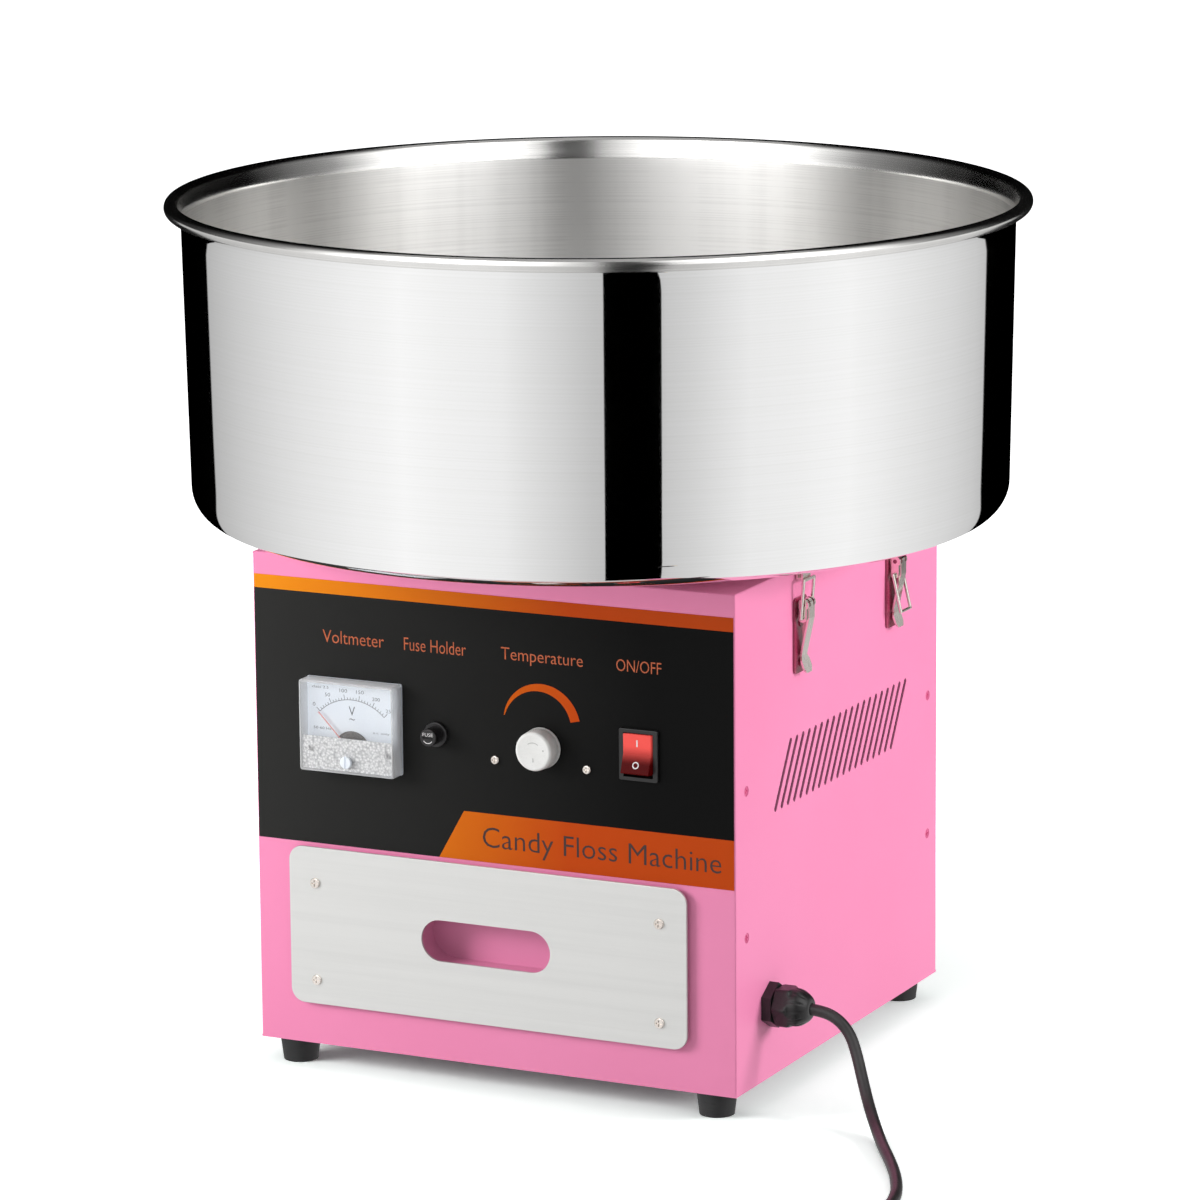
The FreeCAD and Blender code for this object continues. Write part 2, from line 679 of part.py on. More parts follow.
def drawer_front():
    """The brushed plate that stands a little proud of the cabinet."""
    plate = rounded_y(DRAWER_X, PLATE_Z, PLATE_W, PLATE_H,
                      PLATE_Y, PLATE_Y + PLATE_T, PLATE_CORNER_R)
    front = [e for e in plate.Edges if e.CenterOfMass.y < PLATE_Y + 0.01]
    plate = plate.makeFillet(0.4, front)
    plate = plate.cut(finger_hole(HOLE_W, HOLE_H, PLATE_Y - 2, PLATE_Y + 4))
    for x, z in drawer_screw_places():
        plate = plate.cut(rod_y(1.6, x, z, PLATE_Y - 2, PLATE_Y + 4))
    return plate


def drawer_tray():
    """The painted tray, open at the top, with the finger pocket pressed into its front."""
    y0 = PLATE_Y + PLATE_T
    y1 = y0 + TRAY_DEPTH
    x0 = DRAWER_X - TRAY_W / 2
    x1 = DRAWER_X + TRAY_W / 2
    z0 = TRAY_Z - TRAY_H / 2
    z1 = TRAY_Z + TRAY_H / 2
    tray = rounded(block(x0, x1, y0, y1, z0, z1), Y_AXIS, 2.0)
    hollow = block(x0 + SHEET, x1 - SHEET, y0 + SHEET, y1 - SHEET, z0 + SHEET, z1 + 5)
    tray = tray.cut(hollow)
    pocket = finger_hole(HOLE_W + 8, HOLE_H + 8, y0, y0 + POCKET_DEPTH)
    tray = tray.fuse(pocket)
    pocket_space = finger_hole(HOLE_W + 8 - 2 * SHEET, HOLE_H + 8 - 2 * SHEET,
                               y0 - 2, y0 + POCKET_DEPTH - SHEET)
    tray = tray.cut(pocket_space)
    for x, z in drawer_screw_places():
        tray = tray.cut(rod_y(1.6, x, z, y0 - 2, y0 + 4))
    return tray


def drawer_screws():
    """The four screws that hold the plate to the tray."""
    return group([domed_screw((x, PLATE_Y, z), Y_AXIS, 3.2, 1.2, 1.6, 8.0)
                  for x, z in drawer_screw_places()])


def drawer_runners():
    """Two bent rails on the base plate that carry the tray."""
    edge = TRAY_W / 2 + TRAY_GAP - 0.2
    shelf_z = TRAY_Z - TRAY_H / 2 - 0.5
    floor = BOX_Z0 + SHEET
    y0 = FRONT_Y + SHEET + 1.0
    y1 = 90.0
    rails = []
    for side in (-1, 1):
        spans = [
            (edge, edge + SHEET, floor, shelf_z + 16),
            (edge - 12, edge, shelf_z - SHEET, shelf_z),
            (edge + SHEET, edge + 12, floor, floor + SHEET),
        ]
        parts = []
        for near, far, z0, z1 in spans:
            xs = sorted((DRAWER_X + side * near, DRAWER_X + side * far))
            parts.append(block(xs[0], xs[1], y0, y1, z0, z1))
        rails.append(parts[0].fuse(parts[1:]))
    return group(rails)


# Bowl

def bowl():
    """The spun steel bowl: wired rim, straight wall, round corner, flat bottom, centre hole."""
    t = BOWL_T
    corner = BOWL_CORNER_R
    flare_z = RIM_Z - 8.0

    def profile(inset):
        """Wall points from the rim down to the centre hole, moved inwards by the inset."""
        arc_x = WALL_BOTTOM_R - corner
        arc_z = BOWL_Z0 + corner
        radius = corner - inset
        mid = radius / math.sqrt(2)
        top = vec(RIM_CENTRE_R - 1.2 - inset, 0, RIM_Z + 1.0)
        flare = vec(WALL_TOP_R - inset, 0, flare_z)
        low = vec(WALL_BOTTOM_R - inset, 0, arc_z)
        bend = vec(arc_x + mid, 0, arc_z - mid)
        flat = vec(arc_x, 0, BOWL_Z0 + inset)
        inner = vec(BOWL_HOLE_R + inset, 0, BOWL_Z0 + inset)
        lip = vec(BOWL_HOLE_R + inset, 0, BOWL_Z0 + BOWL_LIP_H)
        return top, flare, low, bend, flat, inner, lip

    a = profile(0.0)
    b = profile(t)
    edges = [
        Part.makeLine(a[0], a[1]), Part.makeLine(a[1], a[2]),
        Part.Arc(a[2], a[3], a[4]).toShape(), Part.makeLine(a[4], a[5]),
        Part.makeLine(a[5], a[6]), Part.makeLine(a[6], b[6]), Part.makeLine(b[6], b[5]),
        Part.makeLine(b[5], b[4]), Part.Arc(b[4], b[3], b[2]).toShape(),
        Part.makeLine(b[2], b[1]), Part.makeLine(b[1], b[0]), Part.makeLine(b[0], a[0]),
    ]
    wall = Part.Face(Part.Wire(edges)).revolve(vec(0, 0, 0), Z_AXIS, 360)
    rim = Part.makeTorus(RIM_CENTRE_R, RIM_R, vec(0, 0, RIM_Z), Z_AXIS)
    return wall.fuse(rim)


def bowl_hooks():
    """Four catch hooks under the bowl, for the latches' bails."""
    x0 = HALF_W + 0.5
    parts = [
        (x0 - 14, x0 + SHEET, BOWL_Z0 - SHEET, BOWL_Z0),
        (x0, x0 + SHEET, HOOK_Z, BOWL_Z0 - SHEET),
        (x0 + SHEET, x0 + HOOK_OUT, HOOK_Z, HOOK_Z + SHEET),
        (x0 + HOOK_OUT - SHEET, x0 + HOOK_OUT, HOOK_Z + SHEET, HOOK_Z + HOOK_LIP),
    ]
    hooks = []
    for y in LATCH_Y:
        pieces = [block(a, b, y - 5.5, y + 5.5, c, d) for a, b, c, d in parts]
        hook = pieces[0].fuse(pieces[1:])
        hooks.append(hook)
        hooks.append(mirrored_x(hook))
    return group(hooks)


def bowl_pads():
    """Four rubber pads on the top plate that carry the bowl."""
    pads = []
    for sx in (-1, 1):
        for sy in (-1, 1):
            pad = turned([(0.0, BOX_Z1), (12.0, BOX_Z1), (10.5, BOWL_Z0 - 0.1),
                          (0.0, BOWL_Z0 - 0.1)], sx * 118, sy * 112)
            pads.append(pad)
    return group(pads)


# Toggle latches, drawn on the right side and mirrored for the left

def latch_rivet_heights():
    return (LATCH_BASE_Z0 + 6.0, LATCH_BASE_Z0 + 30.0)


def latch_base(y):
    """The base plate with its two ears, the lever's pin and the two rivets."""
    x0 = HALF_W
    width = LATCH_BASE_W / 2
    plate = rounded(block(x0, x0 + 1.2, y - width, y + width, LATCH_BASE_Z0, LATCH_BASE_Z1),
                    X_AXIS, 3.0)
    for z in latch_rivet_heights():
        plate = plate.cut(rod(1.5, (x0 - 1, y, z), X_AXIS, 4))
    px = x0 + LATCH_PIVOT_OUT
    ears = []
    for side in (-1, 1):
        ya = y + min(side * 2.2, side * 3.4)
        ear = rod(1.9, (px, ya, LATCH_PIVOT_Z), Y_AXIS, 1.2)
        ear = ear.fuse(block(x0 + 1.2, px, ya, ya + 1.2,
                             LATCH_PIVOT_Z - 1.9, LATCH_PIVOT_Z + 1.9))
        ears.append(ear)
    pin = rod(1.25, (px, y - 5.5, LATCH_PIVOT_Z), Y_AXIS, 11.0)
    rivets = []
    for z in latch_rivet_heights():
        shank = rod(1.5, (INNER_W, y, z), X_AXIS, SHEET + 1.2)
        head = rod(2.6, (x0 + 1.2, y, z), X_AXIS, 0.7)
        rivets.append(shank.fuse(head))
    return [plate.fuse(ears).fuse(pin)] + rivets


def latch_lever(y):
    """The lever: a curl and two ears round the pin, an arm and a flared finger tip."""
    x0 = HALF_W
    z0 = LATCH_PIVOT_Z
    px = x0 + LATCH_PIVOT_OUT
    inner = [(7.2, -1.0), (7.2, -8.0), (2.2, -31.0), (5.6, -40.7)]
    outer = [(6.8, -41.1), (3.5, -31.0), (8.4, -8.0), (8.4, -1.0)]
    points = [vec(x0 + a, y - 4.0, z0 + b) for a, b in inner + outer]
    arm = Part.Face(Part.makePolygon(points + [points[0]])).extrude(vec(0, 8.0, 0))
    tip = block(x0 + 2.2, x0 + 3.4, y - 5.5, y + 5.5, 0, 10.9)
    tip = rounded(tip, X_AXIS, 4.2)
    tip.translate(vec(0, 0, z0 - 41.9))
    tip.rotate(vec(x0 + 2.2, y, z0 - 31.0), Y_AXIS, -math.degrees(math.atan2(3.4, 9.7)))
    curl = rod(3.4, (px, y - 2.0, z0), Y_AXIS, 4.0)
    curl = curl.cut(rod(2.2, (px, y - 3.0, z0), Y_AXIS, 6.0))
    curl = curl.cut(block(px - 4.0, px + 4.0, y - 3.0, y + 3.0, z0 - 4.0, z0))
    neck = block(x0 + 7.2, x0 + 8.4, y - 2.0, y + 2.0, z0 - 1.5, z0)
    lever = arm.fuse(tip).fuse(curl).fuse(neck)
    for side in (-1, 1):
        ya = y + min(side * 3.7, side * 5.5)
        top = rod(3.4, (px, ya, z0), Y_AXIS, 1.8)
        low = rod(2.6, (x0 + BAIL_OUT, ya, z0 - BAIL_DROP), Y_AXIS, 1.8)
        web = block(x0 + 2.2, x0 + 7.4, ya, ya + 1.8, z0 - BAIL_DROP, z0)
        lever = lever.fuse([top, low, web])
    pin_hole = rod(1.3, (px, y - 8, z0), Y_AXIS, 16)
    bail_hole = rod(BAIL_WIRE_R + 0.05, (x0 + BAIL_OUT, y - 8, z0 - BAIL_DROP), Y_AXIS, 16)
    return lever.cut(pin_hole).cut(bail_hole)


def latch_bail(y, hangs):
    """The wire bail, standing up beside its hook or hanging down in front of the lever."""
    x0 = HALF_W + BAIL_OUT
    z0 = LATCH_PIVOT_Z - BAIL_DROP
    direction = -1.0 if hangs else 1.0
    lean = math.radians(BAIL_LEAN_DOWN if hangs else BAIL_LEAN_UP)
    reach = vec(math.sin(lean), 0, direction * math.cos(lean))
    r = BAIL_WIRE_R
    hinge = vec(x0, y, z0)
    bar = hinge + reach * BAIL_LENGTH
    solid = Part.makeCylinder(r, 2 * BAIL_HALF_W, bar - Y_AXIS * BAIL_HALF_W, Y_AXIS)
    for side in (-1, 1):
        foot = hinge + Y_AXIS * (side * BAIL_HALF_W)
        leg = Part.makeCylinder(r, BAIL_LENGTH, foot, reach)
        end = Part.makeCylinder(r, BAIL_HALF_W - 3.9, foot, vec(0, -side, 0))
        solid = solid.fuse([leg, end, Part.makeSphere(r, foot)])
        solid = solid.fuse(Part.makeSphere(r, bar + Y_AXIS * (side * BAIL_HALF_W)))
    return solid


def add_latches():
    """Every latch's own lever and bail, and one node for the four bases."""
    bases = []
    for place, y in (("front", LATCH_Y[0]), ("rear", LATCH_Y[1])):
        base = latch_base(y)
        bases += base + [mirrored_x(part) for part in base]
        lever = latch_lever(y)
        bail = latch_bail(y, place == "rear")
        NODES["latch_lever_right_" + place] = lever
        NODES["latch_bail_right_" + place] = bail
        NODES["latch_lever_left_" + place] = mirrored_x(lever)
        NODES["latch_bail_left_" + place] = mirrored_x(bail)
    NODES["latch_bases"] = group(bases)


# Spinning head

def head_pan():
    """The spun floor of the head, with its hub on the shaft."""
    return turned([
        (SHAFT_R, HEAD_Z0 - 8), (14, HEAD_Z0 - 8), (14, HEAD_Z0), (HEAD_R, HEAD_Z0 + 1),
        (HEAD_R, HEAD_Z0 + 6), (HEAD_R - 1.2, HEAD_Z0 + 6), (HEAD_R - 1.2, HEAD_Z0 + 2.4),
        (14, HEAD_Z0 + 2.0), (14, HEAD_Z0 + 9), (SHAFT_R, HEAD_Z0 + 9),
    ])


def heater_ring():
    """The ring heating element on its four insulated posts."""
    ring = Part.makeTorus(63.0, 3.0, vec(0, 0, HEAD_Z0 + 14), Z_AXIS)
    posts = []
    for k in range(4):
        a = math.radians(90 * k + 45)
        posts.append(rod_z(1.5, 63 * math.cos(a), 63 * math.sin(a), HEAD_Z0 + 2.4, HEAD_Z0 + 13))
    return ring.fuse(posts)


def head_screen():
    """The slotted band that the melted sugar is thrown through."""
    z0 = HEAD_Z0 + 6
    band = turned([(HEAD_R - 1.2, z0), (HEAD_R, z0), (HEAD_R, HEAD_Z1), (HEAD_R - 1.2, HEAD_Z1)])
    slots = []
    for k in range(48):
        slot = block(HEAD_R - 4, HEAD_R + 4, -0.8, 0.8, z0 + 3, HEAD_Z1 - 3)
        slot.rotate(vec(0, 0, 0), Z_AXIS, 7.5 * k)
        slots.append(slot)
    return band.cut(slots)


def head_cap():
    """The lid of the head with its mouth for the sugar, on a three-armed clamp."""
    z = HEAD_Z1
    lid = turned([
        (HEAD_R, z), (HEAD_R, z + 2), (66, z + 6), (34, z + 6), (31, z + 12), (30, z + 12),
        (32.8, z + 4.8), (65.6, z + 4.8), (HEAD_R - 1.2, z + 0.6), (HEAD_R - 1.2, z),
    ])
    hub = rod_z(10, 0, 0, z + 1.0, z + 7.0)
    arms = []
    for k in range(3):
        arm = block(8, 36, -3, 3, z + 3.0, z + 5.4)
        arm.rotate(vec(0, 0, 0), Z_AXIS, 120 * k)
        arms.append(arm)
    return lid.fuse([hub] + arms).cut(rod_z(SHAFT_R, 0, 0, z - 2, z + 9))


def heat_shield():
    """The fixed dish on the top plate, under the head."""
    z = BOX_Z1
    dish = turned([(22, z), (84, z), (84, z + 11), (83, z + 11), (83, z + 1), (22, z + 1)])
    return dish.cut([rod_z(5.0, x, y, z - 1, z + 5) for x, y in motor_post_places()])


# Motor

def motor_shaft():
    """The long shaft through the motor, with a round nut on top of the head."""
    shaft = rod_z(SHAFT_R, 0, 0, SHAFT_Z0, SHAFT_Z1)
    nut = turned([(SHAFT_R, HEAD_Z1 + 7), (9, HEAD_Z1 + 7), (9, HEAD_Z1 + 12),
                  (SHAFT_R, HEAD_Z1 + 14)])
    return shaft.fuse(nut)


def motor_rotor():
    """The laminated rotor pressed on the shaft."""
    z = (MOTOR_Z0 + MOTOR_Z1) / 2
    return turned([(SHAFT_R, z - 28), (20, z - 28), (20, z - 20), (27, z - 20), (27, z + 20),
                   (20, z + 20), (20, z + 28), (SHAFT_R, z + 28)])


def motor_stator():
    """The stator core and windings inside the housing."""
    z = (MOTOR_Z0 + MOTOR_Z1) / 2
    return turned([(28, z - 20), (32, z - 30), (40, z - 30), (42, z - 20), (MOTOR_R - 3, z - 20),
                   (MOTOR_R - 3, z + 20), (42, z + 20), (40, z + 30), (32, z + 30), (28, z + 20)])


def motor_housing():
    """The drawn steel can round the stator, open at the top."""
    return turned([
        (11, MOTOR_Z0), (MOTOR_R, MOTOR_Z0), (MOTOR_R, MOTOR_Z1 - 4), (MOTOR_R - 3, MOTOR_Z1 - 4),
        (MOTOR_R - 3, MOTOR_Z0 + 3), (16, MOTOR_Z0 + 3), (16, MOTOR_Z0 + 8), (13, MOTOR_Z0 + 8),
        (13, MOTOR_Z0 + 1), (11, MOTOR_Z0 + 1),
    ])


def motor_bearings():
    """The two ball bearings, drawn as plain rings."""
    rings = []
    for z0 in (MOTOR_Z0 + 1, MOTOR_Z1 - 8):
        rings.append(turned([(SHAFT_R + 0.05, z0), (13, z0), (13, z0 + 7), (SHAFT_R + 0.05, z0 + 7)]))
    return group(rings)


def motor_post_places():
    return [(sx * 52.0, sy * 52.0) for sx in (-1, 1) for sy in (-1, 1)]


def motor_bracket():
    """The motor's upper end plate with its bearing seat, hung from the top by four posts."""
    z = MOTOR_Z1
    plate = rounded(block(-62, 62, -62, 62, z, z + 3), Z_AXIS, 8.0)
    plate = plate.cut(rod_z(11, 0, 0, z - 2, z + 6))
    seat = turned([
        (11, z), (MOTOR_R, z), (MOTOR_R, z - 4), (16, z - 4), (16, z - 9), (13, z - 9),
        (13, z - 1), (11, z - 1),
    ])
    plate = plate.fuse(seat)
    solids = []
    for x, y in motor_post_places():
        plate = plate.cut(rod_z(2.5, x, y, MOTOR_Z1 - 2, MOTOR_Z1 + 6))
        post = rod_z(6, x, y, MOTOR_Z1 + 3, BOX_Z1 - SHEET)
        post = post.cut(rod_z(2.5, x, y, MOTOR_Z1, BOX_Z1))
        bolt = rod_z(2.5, x, y, MOTOR_Z1 - 4, BOX_Z1)
        head = rod_z(4.5, x, y, BOX_Z1, BOX_Z1 + 2.6)
        nut = rod_z(4.5, x, y, MOTOR_Z1 - 4, MOTOR_Z1)
        solids.append(post)
        solids.append(bolt.fuse([head, nut]))
    return group([plate] + solids)


def slip_rings():
    """Two brass rings on an insulating sleeve, under the motor."""
    sleeve = turned([(SHAFT_R, 152), (11, 152), (11, 186), (SHAFT_R, 186)])
    rings = []
    for z0 in RING_Z:
        rings.append(turned([(11, z0), (RING_R, z0), (RING_R, z0 + 8), (11, z0 + 8)]))
    return group([sleeve] + rings)


def brush_holder():
    """The insulating block on the motor's arm, with two carbon brushes for the slip rings."""
    body = block(18, 40, -9, 9, 154, 184)
    brushes = []
    for z0 in RING_Z:
        body = body.cut(block(17, 36, -4, 4, z0, z0 + 8))
        brush = block(RING_R - 2, 36, -4, 4, z0, z0 + 8)
        brushes.append(brush.cut(rod_z(RING_R + 0.05, 0, 0, z0 - 1, z0 + 9)))
    arm = block(40, 44, -9, 9, 154, MOTOR_Z0 + 20)
    lug = block(44, MOTOR_R + 4, -9, 9, MOTOR_Z0 + 10, MOTOR_Z0 + 20)
    holder = body.fuse([arm, lug]).cut(rod_z(MOTOR_R, 0, 0, MOTOR_Z0, MOTOR_Z1))
    return group([holder] + brushes)


# Cable gland and cord

def extruded_x(points, x0, length):
    corners = [vec(x0, y, z) for y, z in points]
    return Part.Face(Part.makePolygon(corners + [corners[0]])).extrude(vec(length, 0, 0))


def gland_body():
    """The hexagon flange outside, the threaded tube and the lock nut inside."""
    centre = [(GLAND_Y + a, GLAND_Z + b) for a, b in hexagon(24.0)]
    flange = extruded_x(centre, HALF_W, 6.0)
    tube = rod(8.0, (INNER_W - 12, GLAND_Y, GLAND_Z), X_AXIS, SHEET + 12)
    collar = rod(9.0, (HALF_W + 6, GLAND_Y, GLAND_Z), X_AXIS, 4.0)
    nut = extruded_x(centre, INNER_W - 5, 5.0)
    bore = rod(CORD_D / 2 + 0.3, (INNER_W - 20, GLAND_Y, GLAND_Z), X_AXIS, 60)
    return flange.fuse([tube, collar, nut]).cut(bore)


def gland_nut():
    """The clamping nut: a long hexagon that ends in a dome round the cord."""
    centre = [(GLAND_Y + a, GLAND_Z + b) for a, b in hexagon(22.5)]
    x0 = HALF_W + 6.3
    nut = extruded_x(centre, x0, 13.0)
    dome = Part.makeCone(11.2, 6.0, 7.7, vec(x0 + 13.0, GLAND_Y, GLAND_Z), X_AXIS)
    solid = nut.fuse(dome)
    solid = solid.cut(rod(9.0, (x0 - 1, GLAND_Y, GLAND_Z), X_AXIS, 4.7))
    return solid.cut(rod(CORD_D / 2, (x0, GLAND_Y, GLAND_Z), X_AXIS, 40))


def cord_wire(points):
    """Straight runs joined by tangent arcs as large as the runs allow, and the arcs' radii."""
    pts = [vec(*p) for p in points]
    edges = []
    radii = []
    start = pts[0]
    for i in range(1, len(pts) - 1):
        back = pts[i - 1] - pts[i]
        ahead = pts[i + 1] - pts[i]
        shorter = min(back.Length, ahead.Length)
        back.normalize()
        ahead.normalize()
        half_turn = (math.pi - back.getAngle(ahead)) / 2
        trim = 0.45 * shorter
        radius = trim / math.tan(half_turn)
        radii.append(radius)
        a = pts[i] + back * trim
        b = pts[i] + ahead * trim
        middle = back + ahead
        middle.normalize()
        centre_distance = math.hypot(radius, trim)
        mid = pts[i] + middle * (centre_distance - radius)
        edges.append(Part.LineSegment(start, a).toShape())
        edges.append(Part.Arc(a, mid, b).toShape())
        start = b
    edges.append(Part.LineSegment(start, pts[-1]).toShape())
    return Part.Wire(edges), radii


def cord_tube():
    """The cord from the gland to the coil."""
    wire, radii = cord_wire(CORD_ROUTE)
    first = vec(*CORD_ROUTE[1]) - vec(*CORD_ROUTE[0])
    circle = Part.Wire(Part.makeCircle(CORD_D / 2, vec(*CORD_ROUTE[0]), first))
    tube = wire.makePipeShell([circle], True, True)
    expected = wire.Length * math.pi * (CORD_D / 2) ** 2
    print("cord tube length", round(wire.Length, 1), "smallest radius", round(min(radii), 1))
    print("cord radii", [round(r, 1) for r in radii])
    print("volume over section times length", round(tube.Volume / expected, 4))
    return tube


def cord_coil():
    """The outer shape of the put-away coil: a thick ring, two turns wide."""
    outer = COIL_MID_R + CORD_D
    inner = COIL_MID_R - CORD_D
    wire, _ = cord_wire(CORD_ROUTE)
    turns = (CORD_LENGTH - wire.Length) / (2 * math.pi * COIL_MID_R)
    height = math.ceil(turns / 2) * CORD_D
    print("coil turns", round(turns, 2), "height", height)
    return turned([(inner, 0.1), (outer, 0.1), (outer, height), (inner, height)],
                  COIL_X, COIL_Y)


def plug():
    """The moulded mains plug beside the coil, with two flat blades and an earth pin."""
    y0 = PLUG_Y - PLUG_W / 2
    body = block(PLUG_X, PLUG_X + PLUG_L, y0, y0 + PLUG_W, 0.1, PLUG_H)
    body = rounded(body, X_AXIS, 5.0)
    x0 = PLUG_X + PLUG_L
    pins = []
    for y in (-6.35, 6.35):
        blade = block(x0, x0 + 17, PLUG_Y + y - 0.75, PLUG_Y + y + 0.75, 9.0, 15.3)
        pins.append(blade)
    pins.append(rod(2.4, (x0, PLUG_Y, 4.8), X_AXIS, 20))
    return body.fuse(pins)


NODES["front_panel"] = front_panel()
NODES["back_panel"] = back_panel()
NODES["side_panel_right"] = right_side_panel(True)
NODES["side_panel_left"] = mirrored_x(right_side_panel(False))
NODES["top_plate"] = top_plate()
NODES["base_plate"] = base_plate()
NODES["feet"] = feet()
NODES["cabinet_screws"] = cabinet_screws()
NODES["film_black"] = film_black()
NODES["film_orange"] = film_orange()
NODES["meter_case"] = meter_case()
NODES["meter_dial"] = meter_dial()
NODES["meter_movement"] = meter_movement()
NODES["meter_needle"] = meter_needle()
NODES["meter_cover"] = meter_cover()
NODES["meter_trim"] = meter_trim()
NODES["meter_zero_screw"] = meter_zero_screw()
NODES["fuse_holder"] = fuse_holder()
NODES["fuse_cap"] = fuse_cap()
NODES["fuse_link"] = fuse_link()
NODES["knob"] = knob()
NODES["knob_shaft"] = knob_shaft()
NODES["heat_controller"] = heat_controller()
NODES["controller_screws"] = controller_screws()
NODES["switch_housing"] = switch_housing()
NODES["switch_rocker"] = rocker()
NODES["drawer_front"] = drawer_front()
NODES["drawer_tray"] = drawer_tray()
NODES["drawer_screws"] = drawer_screws()
NODES["drawer_runners"] = drawer_runners()
NODES["bowl"] = bowl()
NODES["bowl_hooks"] = bowl_hooks()
NODES["bowl_pads"] = bowl_pads()
add_latches()
NODES["head_pan"] = head_pan()
NODES["heater_ring"] = heater_ring()
NODES["head_screen"] = head_screen()
NODES["head_cap"] = head_cap()
NODES["heat_shield"] = heat_shield()
NODES["motor_shaft"] = motor_shaft()
NODES["motor_rotor"] = motor_rotor()
NODES["motor_stator"] = motor_stator()
NODES["motor_housing"] = motor_housing()
NODES["motor_bearings"] = motor_bearings()
NODES["motor_bracket"] = motor_bracket()
NODES["slip_rings"] = slip_rings()
NODES["brush_holder"] = brush_holder()
NODES["gland_body"] = gland_body()
NODES["gland_nut"] = gland_nut()
NODES["cord_tube"] = cord_tube()
NODES["cord_coil"] = cord_coil()
NODES["plug"] = plug()

os.makedirs("parts", exist_ok=True)
for name, shape in NODES.items():
    if not shape.isValid():
        print("not valid:", name)
    shape.exportStep("parts/" + name + ".step")
print(len(NODES), "nodes")
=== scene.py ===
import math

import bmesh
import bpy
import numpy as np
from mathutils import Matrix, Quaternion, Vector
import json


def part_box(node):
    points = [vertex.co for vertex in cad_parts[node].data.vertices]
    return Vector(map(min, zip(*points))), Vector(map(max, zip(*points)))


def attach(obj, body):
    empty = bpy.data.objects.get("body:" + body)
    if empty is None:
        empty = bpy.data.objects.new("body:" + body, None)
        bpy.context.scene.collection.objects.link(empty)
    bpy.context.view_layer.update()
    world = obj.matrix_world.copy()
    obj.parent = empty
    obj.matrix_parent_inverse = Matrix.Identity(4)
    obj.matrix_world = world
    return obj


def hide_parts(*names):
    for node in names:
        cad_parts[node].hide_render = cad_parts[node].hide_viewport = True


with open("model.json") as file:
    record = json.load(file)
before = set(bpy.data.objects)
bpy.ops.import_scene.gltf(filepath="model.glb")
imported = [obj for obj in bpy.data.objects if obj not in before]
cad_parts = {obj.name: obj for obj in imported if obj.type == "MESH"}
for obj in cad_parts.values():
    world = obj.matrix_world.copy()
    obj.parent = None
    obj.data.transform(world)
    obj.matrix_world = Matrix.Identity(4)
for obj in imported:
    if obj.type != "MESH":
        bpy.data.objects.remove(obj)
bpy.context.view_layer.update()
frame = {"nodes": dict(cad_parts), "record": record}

# %% [markdown]
# # A table-top cotton candy machine
# The sheet-metal cabinet, the drawer, the controls and the spinning head come
# from the engineering model. This lesson adds what an engineering model leaves
# out: the spun bowl's polish, the moulded knob and plug, printed lettering, the
# flexible mains cord, and a worked-out finish for every part.

nodes = frame["nodes"]
MM = 0.001
print("parts in the frame:", len(nodes))

# %% [markdown]
# ## Camera
# A long lens, far back, keeps the cabinet's upright edges almost parallel. The
# camera stands to the right of the front and looks slightly down, so the front,
# the right side and the inside of the bowl's far wall all show. Its place is an
# azimuth round the bowl's axis, an elevation above the table, a distance and a
# very small roll.

# %% Place the camera
CAMERA_AZIMUTH = 0.454
CAMERA_ELEVATION = 0.2108
CAMERA_ROLL = -0.0083
CAMERA_DISTANCE = 3.6099
CAMERA_TARGET = Vector((-0.0011, 0.0, 0.2691))

towards_camera = Vector((
    math.sin(CAMERA_AZIMUTH) * math.cos(CAMERA_ELEVATION),
    -math.cos(CAMERA_AZIMUTH) * math.cos(CAMERA_ELEVATION),
    math.sin(CAMERA_ELEVATION),
))
lens = bpy.data.cameras.new("long_lens")
lens.sensor_width = 36.0
lens.lens = 178.2
lens.clip_start = 0.1
lens.clip_end = 100.0
camera = bpy.data.objects.new("camera", lens)
bpy.context.scene.collection.objects.link(camera)
camera.location = CAMERA_TARGET + towards_camera * CAMERA_DISTANCE
camera.rotation_mode = "QUATERNION"
aim = (-towards_camera).to_track_quat("-Z", "Y")
camera.rotation_quaternion = aim @ Quaternion((0, 0, 1), CAMERA_ROLL)
bpy.context.scene.camera = camera
bpy.context.scene.view_settings.view_transform = "Standard"
print("camera at", [round(c, 3) for c in camera.location])

# %% [markdown]
# ## Surfaces from numbers
# Every new piece is a grid of points worked out by numpy and joined into faces.
# Two kinds of formula cover this machine: a profile turned round an axis (bowl,
# knob, gland) and a section carried along a path (plug, blades, clear cover).
# After a grid is built, points that fall together are merged, so seams and
# poles close, and the faces are turned outwards.

# %% Join a grid of points into a mesh
SMOOTH_ANGLE = math.radians(38)
MERGE_DISTANCE = 1e-6


def joined_grid(name, points, close_rows=False, close_columns=False, finish_of_row=None):
    """Faces between neighbouring points of a (rows, columns, 3) array in metres."""
    rows, columns = points.shape[:2]
    index = np.arange(rows * columns).reshape(rows, columns)
    if close_columns:
        index = np.concatenate([index, index[:, :1]], axis=1)
    if close_rows:
        index = np.concatenate([index, index[:1]], axis=0)
    corners = (index[:-1, :-1], index[1:, :-1], index[1:, 1:], index[:-1, 1:])
    quads = np.stack(corners, axis=-1)
    mesh = bpy.data.meshes.new(name)
    mesh.from_pydata(points.reshape(-1, 3).tolist(), [], quads.reshape(-1, 4).tolist())
    if finish_of_row is not None:
        per_face = np.repeat(finish_of_row, quads.shape[1]).astype(np.int32)
        mesh.polygons.foreach_set("material_index", per_face)
    return tidied(mesh)


